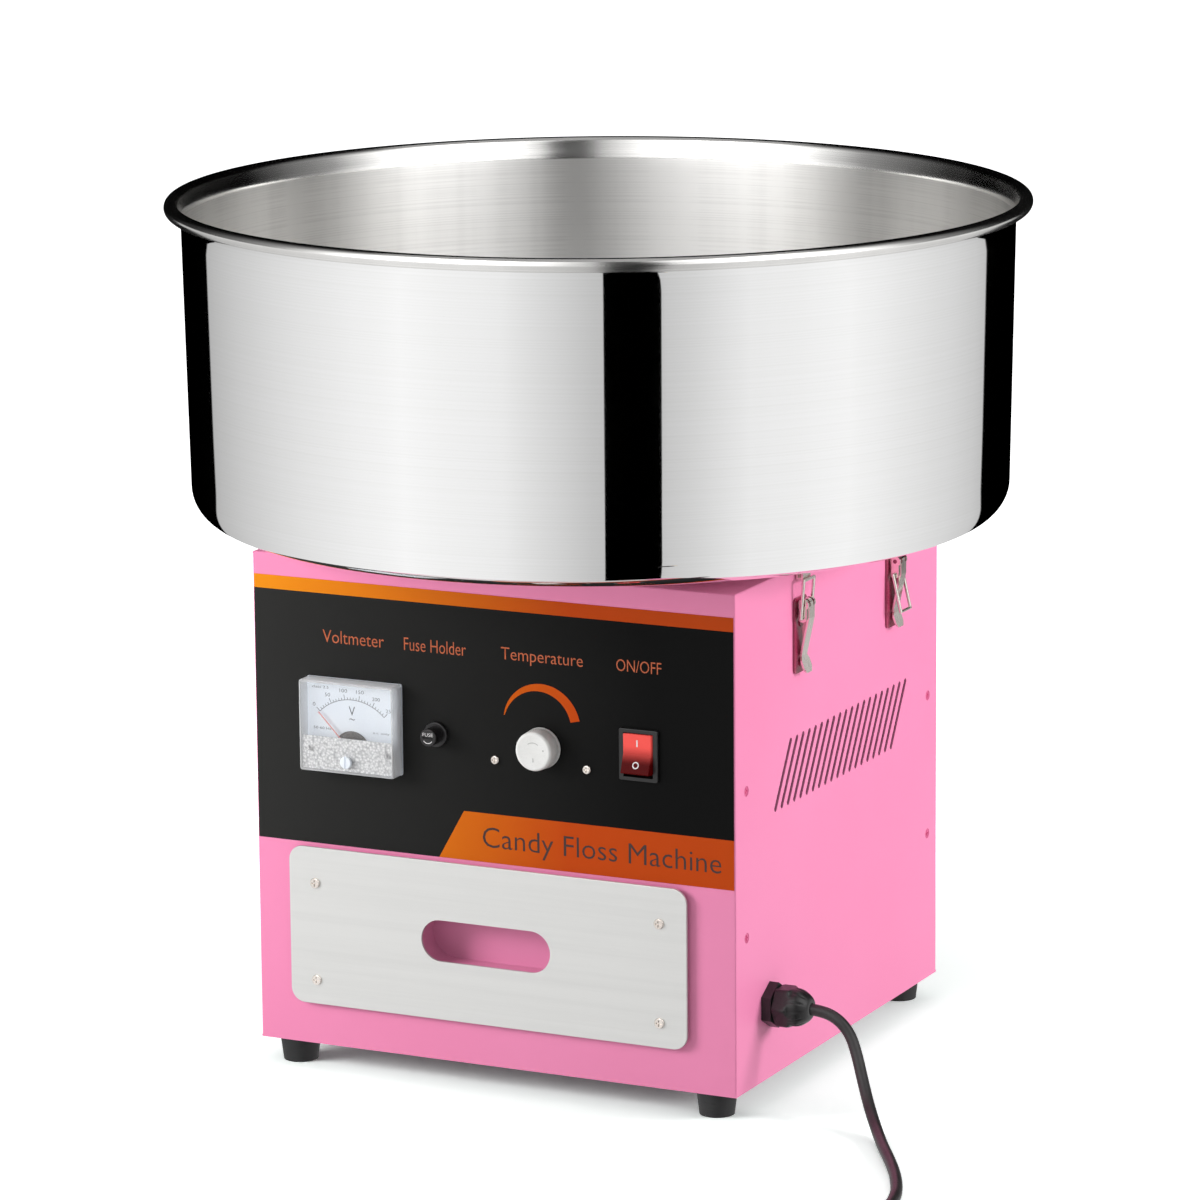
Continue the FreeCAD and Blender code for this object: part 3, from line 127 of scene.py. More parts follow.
def tidied(mesh):
    """Merged points, no empty faces, outward normals, smooth shading with crisp edges."""
    work = bmesh.new()
    work.from_mesh(mesh)
    bmesh.ops.remove_doubles(work, verts=work.verts, dist=MERGE_DISTANCE)
    bmesh.ops.dissolve_degenerate(work, edges=work.edges, dist=MERGE_DISTANCE)
    bmesh.ops.recalc_face_normals(work, faces=work.faces)
    work.to_mesh(mesh)
    work.free()
    mesh.shade_smooth()
    mesh.set_sharp_from_angle(angle=SMOOTH_ANGLE)
    return mesh


def piece(mesh, body, slot, *finishes):
    """A finished piece at the origin that rides on its body and takes the finishes given; its
    slot is not used.
    """
    thing = bpy.data.objects.new(mesh.name, mesh)
    bpy.context.scene.collection.objects.link(thing)
    for finish in finishes:
        mesh.materials.append(finish)
    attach(thing, body)
    return thing


# %% A profile turned round an axis
AXES = {
    "up": np.array([[1, 0, 0], [0, 1, 0], [0, 0, 1]], float),
    "front": np.array([[1, 0, 0], [0, 0, 1], [0, -1, 0]], float),
    "right": np.array([[0, 1, 0], [0, 0, 1], [1, 0, 0]], float),
}


def turned(profile, centre, axis, steps, shape_of_angle=None):
    """Point = centre + radius (cos t, sin t) across the axis + height along the axis."""
    across, over, along = AXES[axis]
    t = np.linspace(0, 2 * np.pi, steps, endpoint=False)
    radius = profile[:, :1] * np.ones_like(t)
    if shape_of_angle is not None:
        radius = shape_of_angle(profile, t)
    x = (radius * np.cos(t))[..., None] * across
    y = (radius * np.sin(t))[..., None] * over
    z = (profile[:, 1:2] * np.ones_like(t))[..., None] * along
    return np.array(centre, float) + x + y + z


def arc(centre, radius, start, end, steps):
    """Points of a circle's arc in a plane, angles in degrees, as a (steps, 2) array."""
    t = np.radians(np.linspace(start, end, steps))
    return np.array(centre) + radius * np.stack([np.cos(t), np.sin(t)], axis=1)


# %% A section carried along a path
def carried(path, side, half_width, half_height, power, steps=40):
    """Superellipse section |a/w|^p + |b/h|^p = 1 carried along a path, closed at its ends."""
    path = np.asarray(path, float)
    along = np.gradient(path, axis=0)
    along /= np.linalg.norm(along, axis=1, keepdims=True)
    side = np.asarray(side, float)
    over = np.cross(along, side)
    t = np.linspace(0, 2 * np.pi, steps, endpoint=False)
    a = np.sign(np.cos(t)) * np.abs(np.cos(t)) ** (2 / power)
    b = np.sign(np.sin(t)) * np.abs(np.sin(t)) ** (2 / power)
    w = np.asarray(half_width, float)[:, None] * a
    h = np.asarray(half_height, float)[:, None] * b
    rings = path[:, None] + w[..., None] * side + h[..., None] * over[:, None]
    first = np.repeat(rings[:1].mean(axis=1, keepdims=True), steps, axis=1)
    last = np.repeat(rings[-1:].mean(axis=1, keepdims=True), steps, axis=1)
    return np.concatenate([first, rings, last], axis=0)


def rounded_frame(width, height, radius, inset, depth, corner_steps=6):
    """A rounded rectangle drawn once for each (inset, depth) pair of a carried profile."""
    quarter = np.radians(np.linspace(0, 90, corner_steps))
    turns = np.concatenate([quarter + k * np.pi / 2 for k in range(4)])
    sx = np.repeat([1, -1, -1, 1], corner_steps)
    sz = np.repeat([1, 1, -1, -1], corner_steps)
    inset = np.asarray(inset, float)[:, None]
    half_w = np.maximum(width / 2 - inset, 0)
    half_h = np.maximum(height / 2 - inset, 0)
    r = np.minimum(np.maximum(radius - inset, 0.1 * MM), np.minimum(half_w, half_h))
    x = sx * (half_w - r) + r * np.cos(turns)
    z = sz * (half_h - r) + r * np.sin(turns)
    y = np.asarray(depth, float)[:, None] * np.ones_like(x)
    return np.stack([x, y, z], axis=-1)


print("shape formulas: turned, carried, rounded_frame")

# %% [markdown]
# ## Effects that several finishes share
# Real surfaces are never one flat colour: paint has soft clouds and an orange
# peel, steel has lines from brushing or spinning, plastic has a fine grain.
# Each effect is a node group built once, with inputs for its sizes, and each
# finish places it with its own values. The groups only put out masks and
# heights; the shader stays in the finish itself.

# %% A helper that builds a node group
def new_group(name, inputs, outputs):
    """An empty shader node group with its sockets, and its input and output nodes."""
    group = bpy.data.node_groups.new(name, "ShaderNodeTree")
    for label, kind, value in inputs:
        socket = group.interface.new_socket(name=label, in_out="INPUT", socket_type=kind)
        if value is not None:
            socket.default_value = value
    for label in outputs:
        group.interface.new_socket(name=label, in_out="OUTPUT", socket_type="NodeSocketFloat")
    return group, group.nodes.new("NodeGroupInput"), group.nodes.new("NodeGroupOutput")


def noise_in(tree, vector, scale, detail, low, high):
    """A noise value stretched so that low becomes 0 and high becomes 1."""
    noise = tree.nodes.new("ShaderNodeTexNoise")
    noise.inputs["Detail"].default_value = detail
    tree.links.new(vector, noise.inputs["Vector"])
    if isinstance(scale, float):
        noise.inputs["Scale"].default_value = scale
    else:
        tree.links.new(scale, noise.inputs["Scale"])
    spread = tree.nodes.new("ShaderNodeMapRange")
    spread.inputs["From Min"].default_value = low
    spread.inputs["From Max"].default_value = high
    tree.links.new(noise.outputs["Fac"], spread.inputs["Value"])
    return spread.outputs["Result"]


# %% Clouds, grain and faint rubbed marks
VECTOR = "NodeSocketVector"
FLOAT = "NodeSocketFloat"
uneven, enter, leave = new_group(
    "uneven_surface",
    [("Vector", VECTOR, None), ("Cloud Scale", FLOAT, 8.0), ("Grain Scale", FLOAT, 900.0)],
    ["Cloud", "Grain", "Marks"],
)
cloud = noise_in(uneven, enter.outputs["Vector"], enter.outputs["Cloud Scale"], 3.0, 0.3, 0.7)
grain = noise_in(uneven, enter.outputs["Vector"], enter.outputs["Grain Scale"], 2.0, 0.3, 0.7)
stretch = uneven.nodes.new("ShaderNodeMapping")
stretch.inputs["Rotation"].default_value = (0.3, 0.9, 0.4)
stretch.inputs["Scale"].default_value = (1.0, 14.0, 14.0)
uneven.links.new(enter.outputs["Vector"], stretch.inputs["Vector"])
streaks = noise_in(uneven, stretch.outputs["Vector"], 38.0, 2.0, 0.62, 0.72)
thinned = uneven.nodes.new("ShaderNodeMath")
thinned.operation = "MULTIPLY"
uneven.links.new(streaks, thinned.inputs[0])
uneven.links.new(cloud, thinned.inputs[1])
uneven.links.new(cloud, leave.inputs["Cloud"])
uneven.links.new(grain, leave.inputs["Grain"])
uneven.links.new(thinned.outputs[0], leave.inputs["Marks"])

# %% Lines left by brushing, and rings left by spinning
brushed, enter, leave = new_group(
    "brushed_lines",
    [("Vector", VECTOR, None), ("Scale", FLOAT, 60.0)],
    ["Lines", "Bands"],
)
lines = noise_in(brushed, enter.outputs["Vector"], enter.outputs["Scale"], 4.0, 0.25, 0.75)
bands = noise_in(brushed, enter.outputs["Vector"], 3.0, 2.0, 0.3, 0.7)
brushed.links.new(lines, leave.inputs["Lines"])
brushed.links.new(bands, leave.inputs["Bands"])

spun, enter, leave = new_group(
    "spun_rings",
    [("Vector", VECTOR, None), ("Scale", FLOAT, 900.0)],
    ["Rings", "Streaks"],
)
parts = spun.nodes.new("ShaderNodeSeparateXYZ")
spun.links.new(enter.outputs["Vector"], parts.inputs["Vector"])
length = spun.nodes.new("ShaderNodeVectorMath")
length.operation = "LENGTH"
spun.links.new(enter.outputs["Vector"], length.inputs[0])
ring_place = spun.nodes.new("ShaderNodeCombineXYZ")
spun.links.new(length.outputs["Value"], ring_place.inputs["X"])
spun.links.new(parts.outputs["Z"], ring_place.inputs["Y"])
rings = noise_in(spun, ring_place.outputs["Vector"], enter.outputs["Scale"], 3.0, 0.25, 0.75)
circle = spun.nodes.new("ShaderNodeVectorMath")
circle.operation = "NORMALIZE"
flat = spun.nodes.new("ShaderNodeVectorMath")
flat.operation = "MULTIPLY"
flat.inputs[1].default_value = (1.0, 1.0, 0.0)
spun.links.new(enter.outputs["Vector"], flat.inputs[0])
spun.links.new(flat.outputs["Vector"], circle.inputs[0])
streaks = noise_in(spun, circle.outputs["Vector"], 9.0, 4.0, 0.3, 0.7)
spun.links.new(rings, leave.inputs["Rings"])
spun.links.new(streaks, leave.inputs["Streaks"])
print("effect groups:", [g.name for g in bpy.data.node_groups])

# %% [markdown]
# ## Finishes
# A finish is one Principled shader fed by the groups. The colour swings a
# little between a light and a dark tone with the clouds, the roughness swings
# with the grain and the rubbed marks, and the grain's height gives a slight
# bump. Numbers that are the same all over sit on the shader's own sockets.

# %% One recipe for painted, moulded and plated parts
def srgb(red, green, blue):
    """A screen colour, 0 to 255, as the linear numbers that a shader needs."""
    c = np.array([red, green, blue], float) / 255
    linear = np.where(c <= 0.04045, c / 12.92, ((c + 0.055) / 1.055) ** 2.4)
    return (*[float(v) for v in linear], 1.0)


def mixed(tree, mask, low, high):
    """A colour that goes from low to high with a mask."""
    mix = tree.nodes.new("ShaderNodeMix")
    mix.data_type = "RGBA"
    mix.inputs["A"].default_value = low
    mix.inputs["B"].default_value = high
    tree.links.new(mask, mix.inputs["Factor"])
    return mix.outputs["Result"]


def ranged(tree, mask, low, high):
    """A number that goes from low to high with a mask."""
    node = tree.nodes.new("ShaderNodeMapRange")
    node.inputs["To Min"].default_value = low
    node.inputs["To Max"].default_value = high
    tree.links.new(mask, node.inputs["Value"])
    return node.outputs["Result"]


def summed(tree, first, second, share):
    """first + share * second."""
    node = tree.nodes.new("ShaderNodeMath")
    node.operation = "MULTIPLY_ADD"
    node.inputs[1].default_value = share
    tree.links.new(second, node.inputs[0])
    tree.links.new(first, node.inputs[2])
    return node.outputs[0]


def bumped(tree, height, distance, strength):
    """A normal tilted by a height."""
    node = tree.nodes.new("ShaderNodeBump")
    node.inputs["Distance"].default_value = distance
    node.inputs["Strength"].default_value = strength
    tree.links.new(height, node.inputs["Height"])
    return node.outputs["Normal"]


def started(name, scale=(1.0, 1.0, 1.0), offset=(0.0, 0.0, 0.0)):
    """A new material, its shader, and Object coordinates moved and then stretched."""
    material = bpy.data.materials.new(name)
    material.use_nodes = True
    tree = material.node_tree
    shader = tree.nodes["Principled BSDF"]
    place = tree.nodes.new("ShaderNodeTexCoord")
    mapping = tree.nodes.new("ShaderNodeMapping")
    mapping.inputs["Location"].default_value = offset
    mapping.inputs["Scale"].default_value = scale
    tree.links.new(place.outputs["Object"], mapping.inputs["Vector"])
    return material, tree, shader, mapping.outputs["Vector"]


def placed(tree, group, vector, **values):
    """A group node in a material, with its own sizes."""
    node = tree.nodes.new("ShaderNodeGroup")
    node.node_tree = group
    tree.links.new(vector, node.inputs["Vector"])
    for label, value in values.items():
        node.inputs[label.replace("_", " ")].default_value = value
    return node


def moulded(name, light, dark, rough, cloud=8.0, grain=900.0, height=0.02,
            marks=0.12, metal=0.0, **sockets):
    """Colour from dark to light with the clouds, roughness with grain and marks, fine bump."""
    material, tree, shader, vector = started(name)
    node = placed(tree, uneven, vector, Cloud_Scale=cloud, Grain_Scale=grain)
    tree.links.new(mixed(tree, node.outputs["Cloud"], dark, light), shader.inputs["Base Color"])
    base = ranged(tree, node.outputs["Grain"], rough[0], rough[1])
    total = summed(tree, base, node.outputs["Marks"], marks)
    tree.links.new(total, shader.inputs["Roughness"])
    normal = bumped(tree, node.outputs["Grain"], height * MM, 0.6)
    tree.links.new(normal, shader.inputs["Normal"])
    shader.inputs["Metallic"].default_value = metal
    for label, value in sockets.items():
        shader.inputs[label.replace("_", " ")].default_value = value
    return material


# %% One recipe for brushed sheet and bar
def brushed_metal(name, light, dark, rough, scale, lines=60.0, height=0.01, metal=1.0):
    """Long thin lines along one direction, which scale stretches, vary colour and gloss."""
    material, tree, shader, vector = started(name, scale)
    node = placed(tree, brushed, vector, Scale=lines)
    tone = summed(tree, node.outputs["Bands"], node.outputs["Lines"], 0.5)
    tree.links.new(mixed(tree, tone, dark, light), shader.inputs["Base Color"])
    roughness = ranged(tree, node.outputs["Lines"], rough[0], rough[1])
    tree.links.new(roughness, shader.inputs["Roughness"])
    normal = bumped(tree, node.outputs["Lines"], height * MM, 0.5)
    tree.links.new(normal, shader.inputs["Normal"])
    shader.inputs["Metallic"].default_value = metal
    return material


# %% The plain finishes, one for each slot of the record
PINK = srgb(251, 148, 192)
finishes = {
    "pink_paint": moulded(
        "pink_powder_coat", PINK, srgb(249, 142, 186), (0.4, 0.5),
        cloud=5.0, grain=1400.0, height=0.05, Specular_IOR_Level=0.25),
    # The screws wear the cabinet's pink; their darker tone is painted shade for the recesses that
    # they sit in.
    "pink_screws": moulded(
        "pink_screws_painted_shade", srgb(236, 110, 160), srgb(214, 78, 132), (0.3, 0.45),
        cloud=180.0, grain=2200.0, height=0.04),
    "black_rubber": moulded(
        "black_foot_rubber", srgb(36, 36, 37), srgb(22, 22, 23), (0.5, 0.7),
        cloud=60.0, grain=2600.0, height=0.06),
    "meter_white": moulded(
        "dial_white", srgb(242, 248, 255), srgb(236, 243, 252), (0.35, 0.5),
        cloud=40.0, grain=3000.0, height=0.005),
    "meter_dark": moulded(
        "movement_brown", srgb(70, 60, 52), srgb(38, 33, 30), (0.35, 0.55),
        cloud=120.0, grain=2400.0),
    "needle_red": moulded(
        "needle_red", srgb(236, 168, 164), srgb(226, 140, 134), (0.35, 0.5),
        cloud=200.0, grain=3000.0),
    "black_plastic": moulded(
        "black_moulded_nylon", srgb(32, 30, 31), srgb(18, 17, 18), (0.26, 0.42),
        cloud=90.0, grain=2800.0, height=0.03),
    "fuse_glass": moulded(
        "fuse_glass", srgb(236, 246, 246), srgb(226, 240, 240), (0.03, 0.08),
        cloud=60.0, grain=2000.0, height=0.0, marks=0.02, Transmission_Weight=0.85),
    "white_plastic": moulded(
        "white_moulded_plastic", srgb(244, 244, 242), srgb(236, 236, 233), (0.24, 0.34),
        cloud=70.0, grain=2600.0, height=0.02),
    "zinc_steel": moulded(
        "zinc_plated_steel", srgb(206, 206, 200), srgb(170, 172, 170), (0.25, 0.45),
        cloud=45.0, grain=1200.0, height=0.03, metal=1.0),
    "board_green": moulded(
        "circuit_board_green", srgb(40, 116, 72), srgb(22, 84, 50), (0.35, 0.5),
        cloud=50.0, grain=1600.0),
    "bowl_steel": moulded(
        "spare_bowl_steel", srgb(236, 236, 236), srgb(222, 222, 222), (0.1, 0.2), metal=1.0),
    "head_aluminium": moulded(
        "spun_aluminium", srgb(220, 221, 223), srgb(198, 199, 202), (0.25, 0.4),
        cloud=30.0, grain=700.0, height=0.04, metal=1.0),
    "element_steel": moulded(
        "heat_stained_steel", srgb(142, 120, 104), srgb(84, 74, 86), (0.35, 0.6),
        cloud=60.0, grain=1400.0, height=0.05, metal=1.0),
    "motor_paint": moulded(
        "motor_grey_paint", srgb(84, 88, 92), srgb(66, 70, 74), (0.4, 0.55),
        cloud=20.0, grain=1200.0, height=0.05),
    "stator_iron": moulded(
        "laminated_iron", srgb(128, 116, 104), srgb(92, 84, 78), (0.4, 0.65),
        cloud=35.0, grain=900.0, height=0.08, metal=0.8),
    "bearing_steel": moulded(
        "ground_bearing_steel", srgb(222, 222, 224), srgb(204, 204, 207), (0.12, 0.24),
        cloud=60.0, grain=1800.0, metal=1.0),
    "ring_brass": moulded(
        "turned_brass", srgb(228, 196, 116), srgb(202, 164, 84), (0.2, 0.36),
        cloud=60.0, grain=1800.0, metal=1.0),
    "brush_plastic": moulded(
        "pressed_laminate_brown", srgb(134, 92, 60), srgb(104, 68, 44), (0.45, 0.6),
        cloud=80.0, grain=1200.0, height=0.05),
    "cord_rubber": moulded(
        "cord_rubber_black", srgb(52, 49, 50), srgb(34, 32, 33), (0.36, 0.5),
        cloud=70.0, grain=2600.0, height=0.04),
    "steel": brushed_metal(
        "stamped_plated_steel", srgb(236, 228, 221), srgb(214, 204, 196), (0.18, 0.3),
        (40.0, 40.0, 6.0), lines=14.0),
    # The latch bases are plated steel; their dark rose colour is a painted reflection of the pink
    # cabinet, with painted shade from the levers over them.
    "rose_paint": moulded(
        "latch_base_painted_reflection", srgb(178, 62, 96), srgb(150, 44, 76), (0.16, 0.3),
        cloud=80.0, grain=2200.0, height=0.02, Coat_Weight=0.4),
    "brushed_plate": brushed_metal(
        "brushed_drawer_plate", srgb(221, 221, 219), srgb(215, 215, 213), (0.34, 0.42),
        (1.0, 1.0, 60.0), lines=40.0, height=0.004, metal=0.5),
}
print("plain finishes:", len(finishes))

# %% [markdown]
# ## Light thrown by the pink paint
# Light that bounces off a painted panel carries the paint's colour. At full
# strength it turns the pale floor pink, so rays that have bounced off something
# matt meet a paler paint than the eye does. This is a choice for the picture:
# real paint has one colour for every ray.

# %% The pink paint throws only a pale tint on its surroundings
PALE_BOUNCE = srgb(200, 186, 192)
tree = finishes["pink_paint"].node_tree
shader = tree.nodes["Principled BSDF"]
painted = shader.inputs["Base Color"].links[0].from_socket
ray = tree.nodes.new("ShaderNodeLightPath")
bounced = mixed(tree, ray.outputs["Is Diffuse Ray"], PINK, PALE_BOUNCE)
tree.links.new(painted, bounced.node.inputs["A"])
tree.links.new(bounced, shader.inputs["Base Color"])
print("pink paint: bounce kept pale")

# %% [markdown]
# ## Finishes that need their own nodes
# The films on the front grow darker from the left to the right: the orange one
# from amber to deep orange, the black one from charcoal to near black. The bowl
# is polished outside, with faint rings from spinning, and satin inside, with soft
# upright streaks. The trim in the meter has a pebbled face. The red rocker has
# painted light: it glows though it holds no lamp, and it is lighter at the top,
# for the light that shines through it.

# %% Films that grow darker from left to right
FILM_LEFT_X = -0.160


def film_darker_to_right(name, left, right, far):
    """Share of the right tone = (x - left edge) / (far - left edge), plus a little cloud."""
    material, tree, shader, vector = started(name)
    parts = tree.nodes.new("ShaderNodeSeparateXYZ")
    tree.links.new(vector, parts.inputs["Vector"])
    across = tree.nodes.new("ShaderNodeMapRange")
    across.inputs["From Min"].default_value = FILM_LEFT_X
    across.inputs["From Max"].default_value = far
    tree.links.new(parts.outputs["X"], across.inputs["Value"])
    node = placed(tree, uneven, vector, Cloud_Scale=7.0, Grain_Scale=2400.0)
    drift = summed(tree, across.outputs["Result"], node.outputs["Cloud"], 0.06)
    tree.links.new(mixed(tree, drift, left, right), shader.inputs["Base Color"])
    tree.links.new(ranged(tree, node.outputs["Grain"], 0.42, 0.54), shader.inputs["Roughness"])
    normal = bumped(tree, node.outputs["Grain"], 0.02 * MM, 0.5)
    tree.links.new(normal, shader.inputs["Normal"])
    shader.inputs["Specular IOR Level"].default_value = 0.08
    return material


finishes["orange_film"] = film_darker_to_right(
    "orange_print", srgb(240, 146, 18), srgb(198, 72, 8), far=0.060)
finishes["black_film"] = film_darker_to_right(
    "black_print", srgb(44, 44, 43), srgb(6, 6, 6), far=0.110)


# %% The bowl's two sides
def bowl_finish(name, light, dark, rough, ring_height, streak_share, stretch=0.0):
    """Spun rings tilt the surface very slightly, and streaks round the axis vary the tone."""
    material, tree, shader, vector = started(name)
    node = placed(tree, spun, vector, Scale=700.0)
    soft = placed(tree, uneven, vector, Cloud_Scale=5.0, Grain_Scale=300.0)
    tone = summed(tree, node.outputs["Rings"], node.outputs["Streaks"], streak_share)
    tree.links.new(mixed(tree, tone, dark, light), shader.inputs["Base Color"])
    gloss = ranged(tree, soft.outputs["Cloud"], rough[0], rough[1])
    tree.links.new(gloss, shader.inputs["Roughness"])
    normal = bumped(tree, node.outputs["Rings"], ring_height * MM, 0.3)
    tree.links.new(normal, shader.inputs["Normal"])
    shader.inputs["Metallic"].default_value = 1.0
    shader.inputs["Anisotropic"].default_value = stretch
    shader.inputs["Anisotropic Rotation"].default_value = 0.25
    around = tree.nodes.new("ShaderNodeTangent")
    around.direction_type = "RADIAL"
    around.axis = "Z"
    tree.links.new(around.outputs["Tangent"], shader.inputs["Tangent"])
    return material


bowl_outside = bowl_finish(
    "polished_bowl_steel", srgb(246, 246, 246), srgb(241, 241, 240), (0.02, 0.035), 0.0002, 0.3)
bowl_bead = bowl_finish(
    "satin_bead_steel", srgb(232, 231, 229), srgb(214, 213, 211), (0.14, 0.2), 0.002, 0.5)
bowl_inside = bowl_finish(
    "satin_bowl_steel", srgb(240, 239, 237), srgb(218, 217, 215), (0.34, 0.4), 0.002, 0.8, 0.85)


# %% Clear cover, pebbled trim and a rocker with painted light
def clear_plastic(name, share, edge_share, colour):
    """See-through plastic: more solid where it is seen edge on, by the facing weight."""
    material, tree, shader, vector = started(name)
    node = placed(tree, uneven, vector, Cloud_Scale=30.0, Grain_Scale=1800.0)
    tree.links.new(mixed(tree, node.outputs["Cloud"], colour, (1, 1, 1, 1)),
                   shader.inputs["Base Color"])
    tree.links.new(ranged(tree, node.outputs["Grain"], 0.02, 0.06), shader.inputs["Roughness"])
    facing = tree.nodes.new("ShaderNodeLayerWeight")
    facing.inputs["Blend"].default_value = 0.35
    alpha = ranged(tree, facing.outputs["Facing"], share, edge_share)
    tree.links.new(alpha, shader.inputs["Alpha"])
    return material


cover_window = clear_plastic("clear_window", 0.03, 0.4, srgb(244, 247, 251))
cover_wall = clear_plastic("clear_wall", 0.22, 0.85, srgb(250, 251, 252))
finishes["clear_cover"] = cover_wall


def pebbled():
    """Small round cells, taken from a cell pattern's distance, make the bumps."""
    material, tree, shader, vector = started("pebbled_trim")
    cells = tree.nodes.new("ShaderNodeTexVoronoi")
    cells.inputs["Scale"].default_value = 640.0
    tree.links.new(vector, cells.inputs["Vector"])
    colour = mixed(tree, cells.outputs["Distance"], srgb(255, 255, 255), srgb(158, 159, 162))
    tree.links.new(colour, shader.inputs["Base Color"])
    tree.links.new(ranged(tree, cells.outputs["Distance"], 0.12, 0.3),
                   shader.inputs["Roughness"])
    normal = bumped(tree, cells.outputs["Distance"], 0.3 * MM, 0.8)
    tree.links.new(normal, shader.inputs["Normal"])
    shader.inputs["Coat Weight"].default_value = 0.4
    return material


finishes["pebbled_trim"] = pebbled()


def rocker_with_painted_light():
    """Deep red plastic with painted light: a glow though it holds no lamp, and a colour lighter
    at the top than at the bottom.
    """
    low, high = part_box("switch_rocker")
    centre = (low + high) / 2
    material, tree, shader, vector = started("red_rocker_painted_light", offset=tuple(-centre))
    parts = tree.nodes.new("ShaderNodeSeparateXYZ")
    tree.links.new(vector, parts.inputs["Vector"])
    painted_light_share = tree.nodes.new("ShaderNodeMapRange")
    painted_light_share.interpolation_type = "SMOOTHSTEP"
    painted_light_share.inputs["From Min"].default_value = -0.006
    painted_light_share.inputs["From Max"].default_value = 0.006
    tree.links.new(parts.outputs["Z"], painted_light_share.inputs["Value"])
    # Painted light: the glow here and the base colour below both grow lighter towards the top,
    # for the light that shines through the rocker.
    glow = mixed(tree, painted_light_share.outputs["Result"], srgb(70, 0, 0), srgb(216, 60, 54))
    tree.links.new(glow, shader.inputs["Emission Color"])
    shader.inputs["Emission Strength"].default_value = 0.35
    node = placed(tree, uneven, vector, Cloud_Scale=90.0, Grain_Scale=2600.0)
    tree.links.new(mixed(tree, painted_light_share.outputs["Result"], srgb(70, 0, 2), srgb(232, 92, 86)),
                   shader.inputs["Base Color"])
    tree.links.new(ranged(tree, node.outputs["Grain"], 0.2, 0.3), shader.inputs["Roughness"])
    shader.inputs["Specular IOR Level"].default_value = 0.06
    return material


finishes["red_rocker"] = rocker_with_painted_light()
print("all finishes:", len(finishes))

# %% Every part of the frame takes its slot's finish
for row in frame["record"]["subparts"]:
    node = nodes[row["node"]]
    node.data.materials.clear()
    node.data.materials.append(finishes[row["material_slot"]])

# %% [markdown]
# ## Mains cord
# The cord is one fixed length of 7 mm rubber-sheathed lead. It leaves the gland
# on the right side, bends down under its own weight, lands on the table and
# runs forward to a neat put-away coil with its plug beside it. It is drawn as a
# smooth spline through listed points, and the coil's turns are more points
# of the same spline, so no joint shows anywhere.

# %% The cord's points, in metres
CORD_DIAMETER = 0.007
CORD_EXIT = (0.177, -0.103, 0.060)
cord_run = [
    CORD_EXIT,
    (0.190, -0.103, 0.060),
    (0.2015, -0.1032, 0.0566),
    (0.2105, -0.1046, 0.0484),
    (0.2165, -0.1084, 0.037),
    (0.223, -0.115, 0.024),
    (0.232, -0.126, 0.0118),
    (0.2445, -0.144, 0.0046),
    (0.258, -0.167, 0.0036),
    (0.2735, -0.192, 0.0036),
    (0.290, -0.2215, 0.0036),
    (0.3035, -0.254, 0.0036),
    (0.308, -0.295, 0.0036),
    (0.305, -0.333, 0.0036),
    (0.2985, -0.360, 0.0036),
]
COIL_CENTRE = (0.340, -0.378)
TURN_STEPS = 16
TURNS = 5.25
OUTER_TURN = 0.0428
INNER_TURN = 0.0356
LAYER_Z = (0.0036, 0.0106, 0.0177)
coil_run = []
for k in range(1, int(TURNS * TURN_STEPS)):
    turn = k / TURN_STEPS
    heading = math.pi + 2 * math.pi * turn
    radius = float(np.interp(turn, [0.9, 1.1, 2.9, 3.1],
                             [OUTER_TURN, INNER_TURN, INNER_TURN, OUTER_TURN]))
    height = float(np.interp(turn, [1.9, 2.1, 3.9, 4.1],
                             [LAYER_Z[0], LAYER_Z[1], LAYER_Z[1], LAYER_Z[2]]))
    coil_run.append((COIL_CENTRE[0] + radius * math.cos(heading),
                     COIL_CENTRE[1] + radius * math.sin(heading), height))
plug_run = [
    (0.3405, -0.4205, 0.0172),
    (0.3505, -0.4225, 0.0145),
    (0.3605, -0.4275, 0.0115),
    (0.3700, -0.4305, 0.0102),
    (0.3780, -0.4310, 0.0100),
]
print("points on the cord:", len(cord_run) + len(coil_run) + len(plug_run))

# %% The cord as one smooth spline
sheath = bpy.data.curves.new("mains_cord", "CURVE")
sheath.dimensions = "3D"
sheath.bevel_depth = CORD_DIAMETER / 2
sheath.bevel_resolution = 6
sheath.resolution_u = 8
sheath.use_fill_caps = True
line = sheath.splines.new("NURBS")
cord_points = cord_run + coil_run + plug_run
line.points.add(len(cord_points) - 1)
line.points.foreach_set("co", [v for p in cord_points for v in (*p, 1.0)])
line.order_u = 3
line.use_endpoint_u = True
cord = bpy.data.objects.new("mains_cord", sheath)
bpy.context.scene.collection.objects.link(cord)
sheath.materials.append(finishes["cord_rubber"])
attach(cord, "cabinet")
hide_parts("cord_tube", "cord_coil")
cord.visible_glossy = False

# %% [markdown]
# ## Plug
# The plug is moulded on to the cord: a slim neck swells into a body with soft
# corners and three shallow grip grooves, and its flat face carries two blades
# and a round earth pin. A superellipse section whose width and height follow
# the length gives the whole body in one surface.

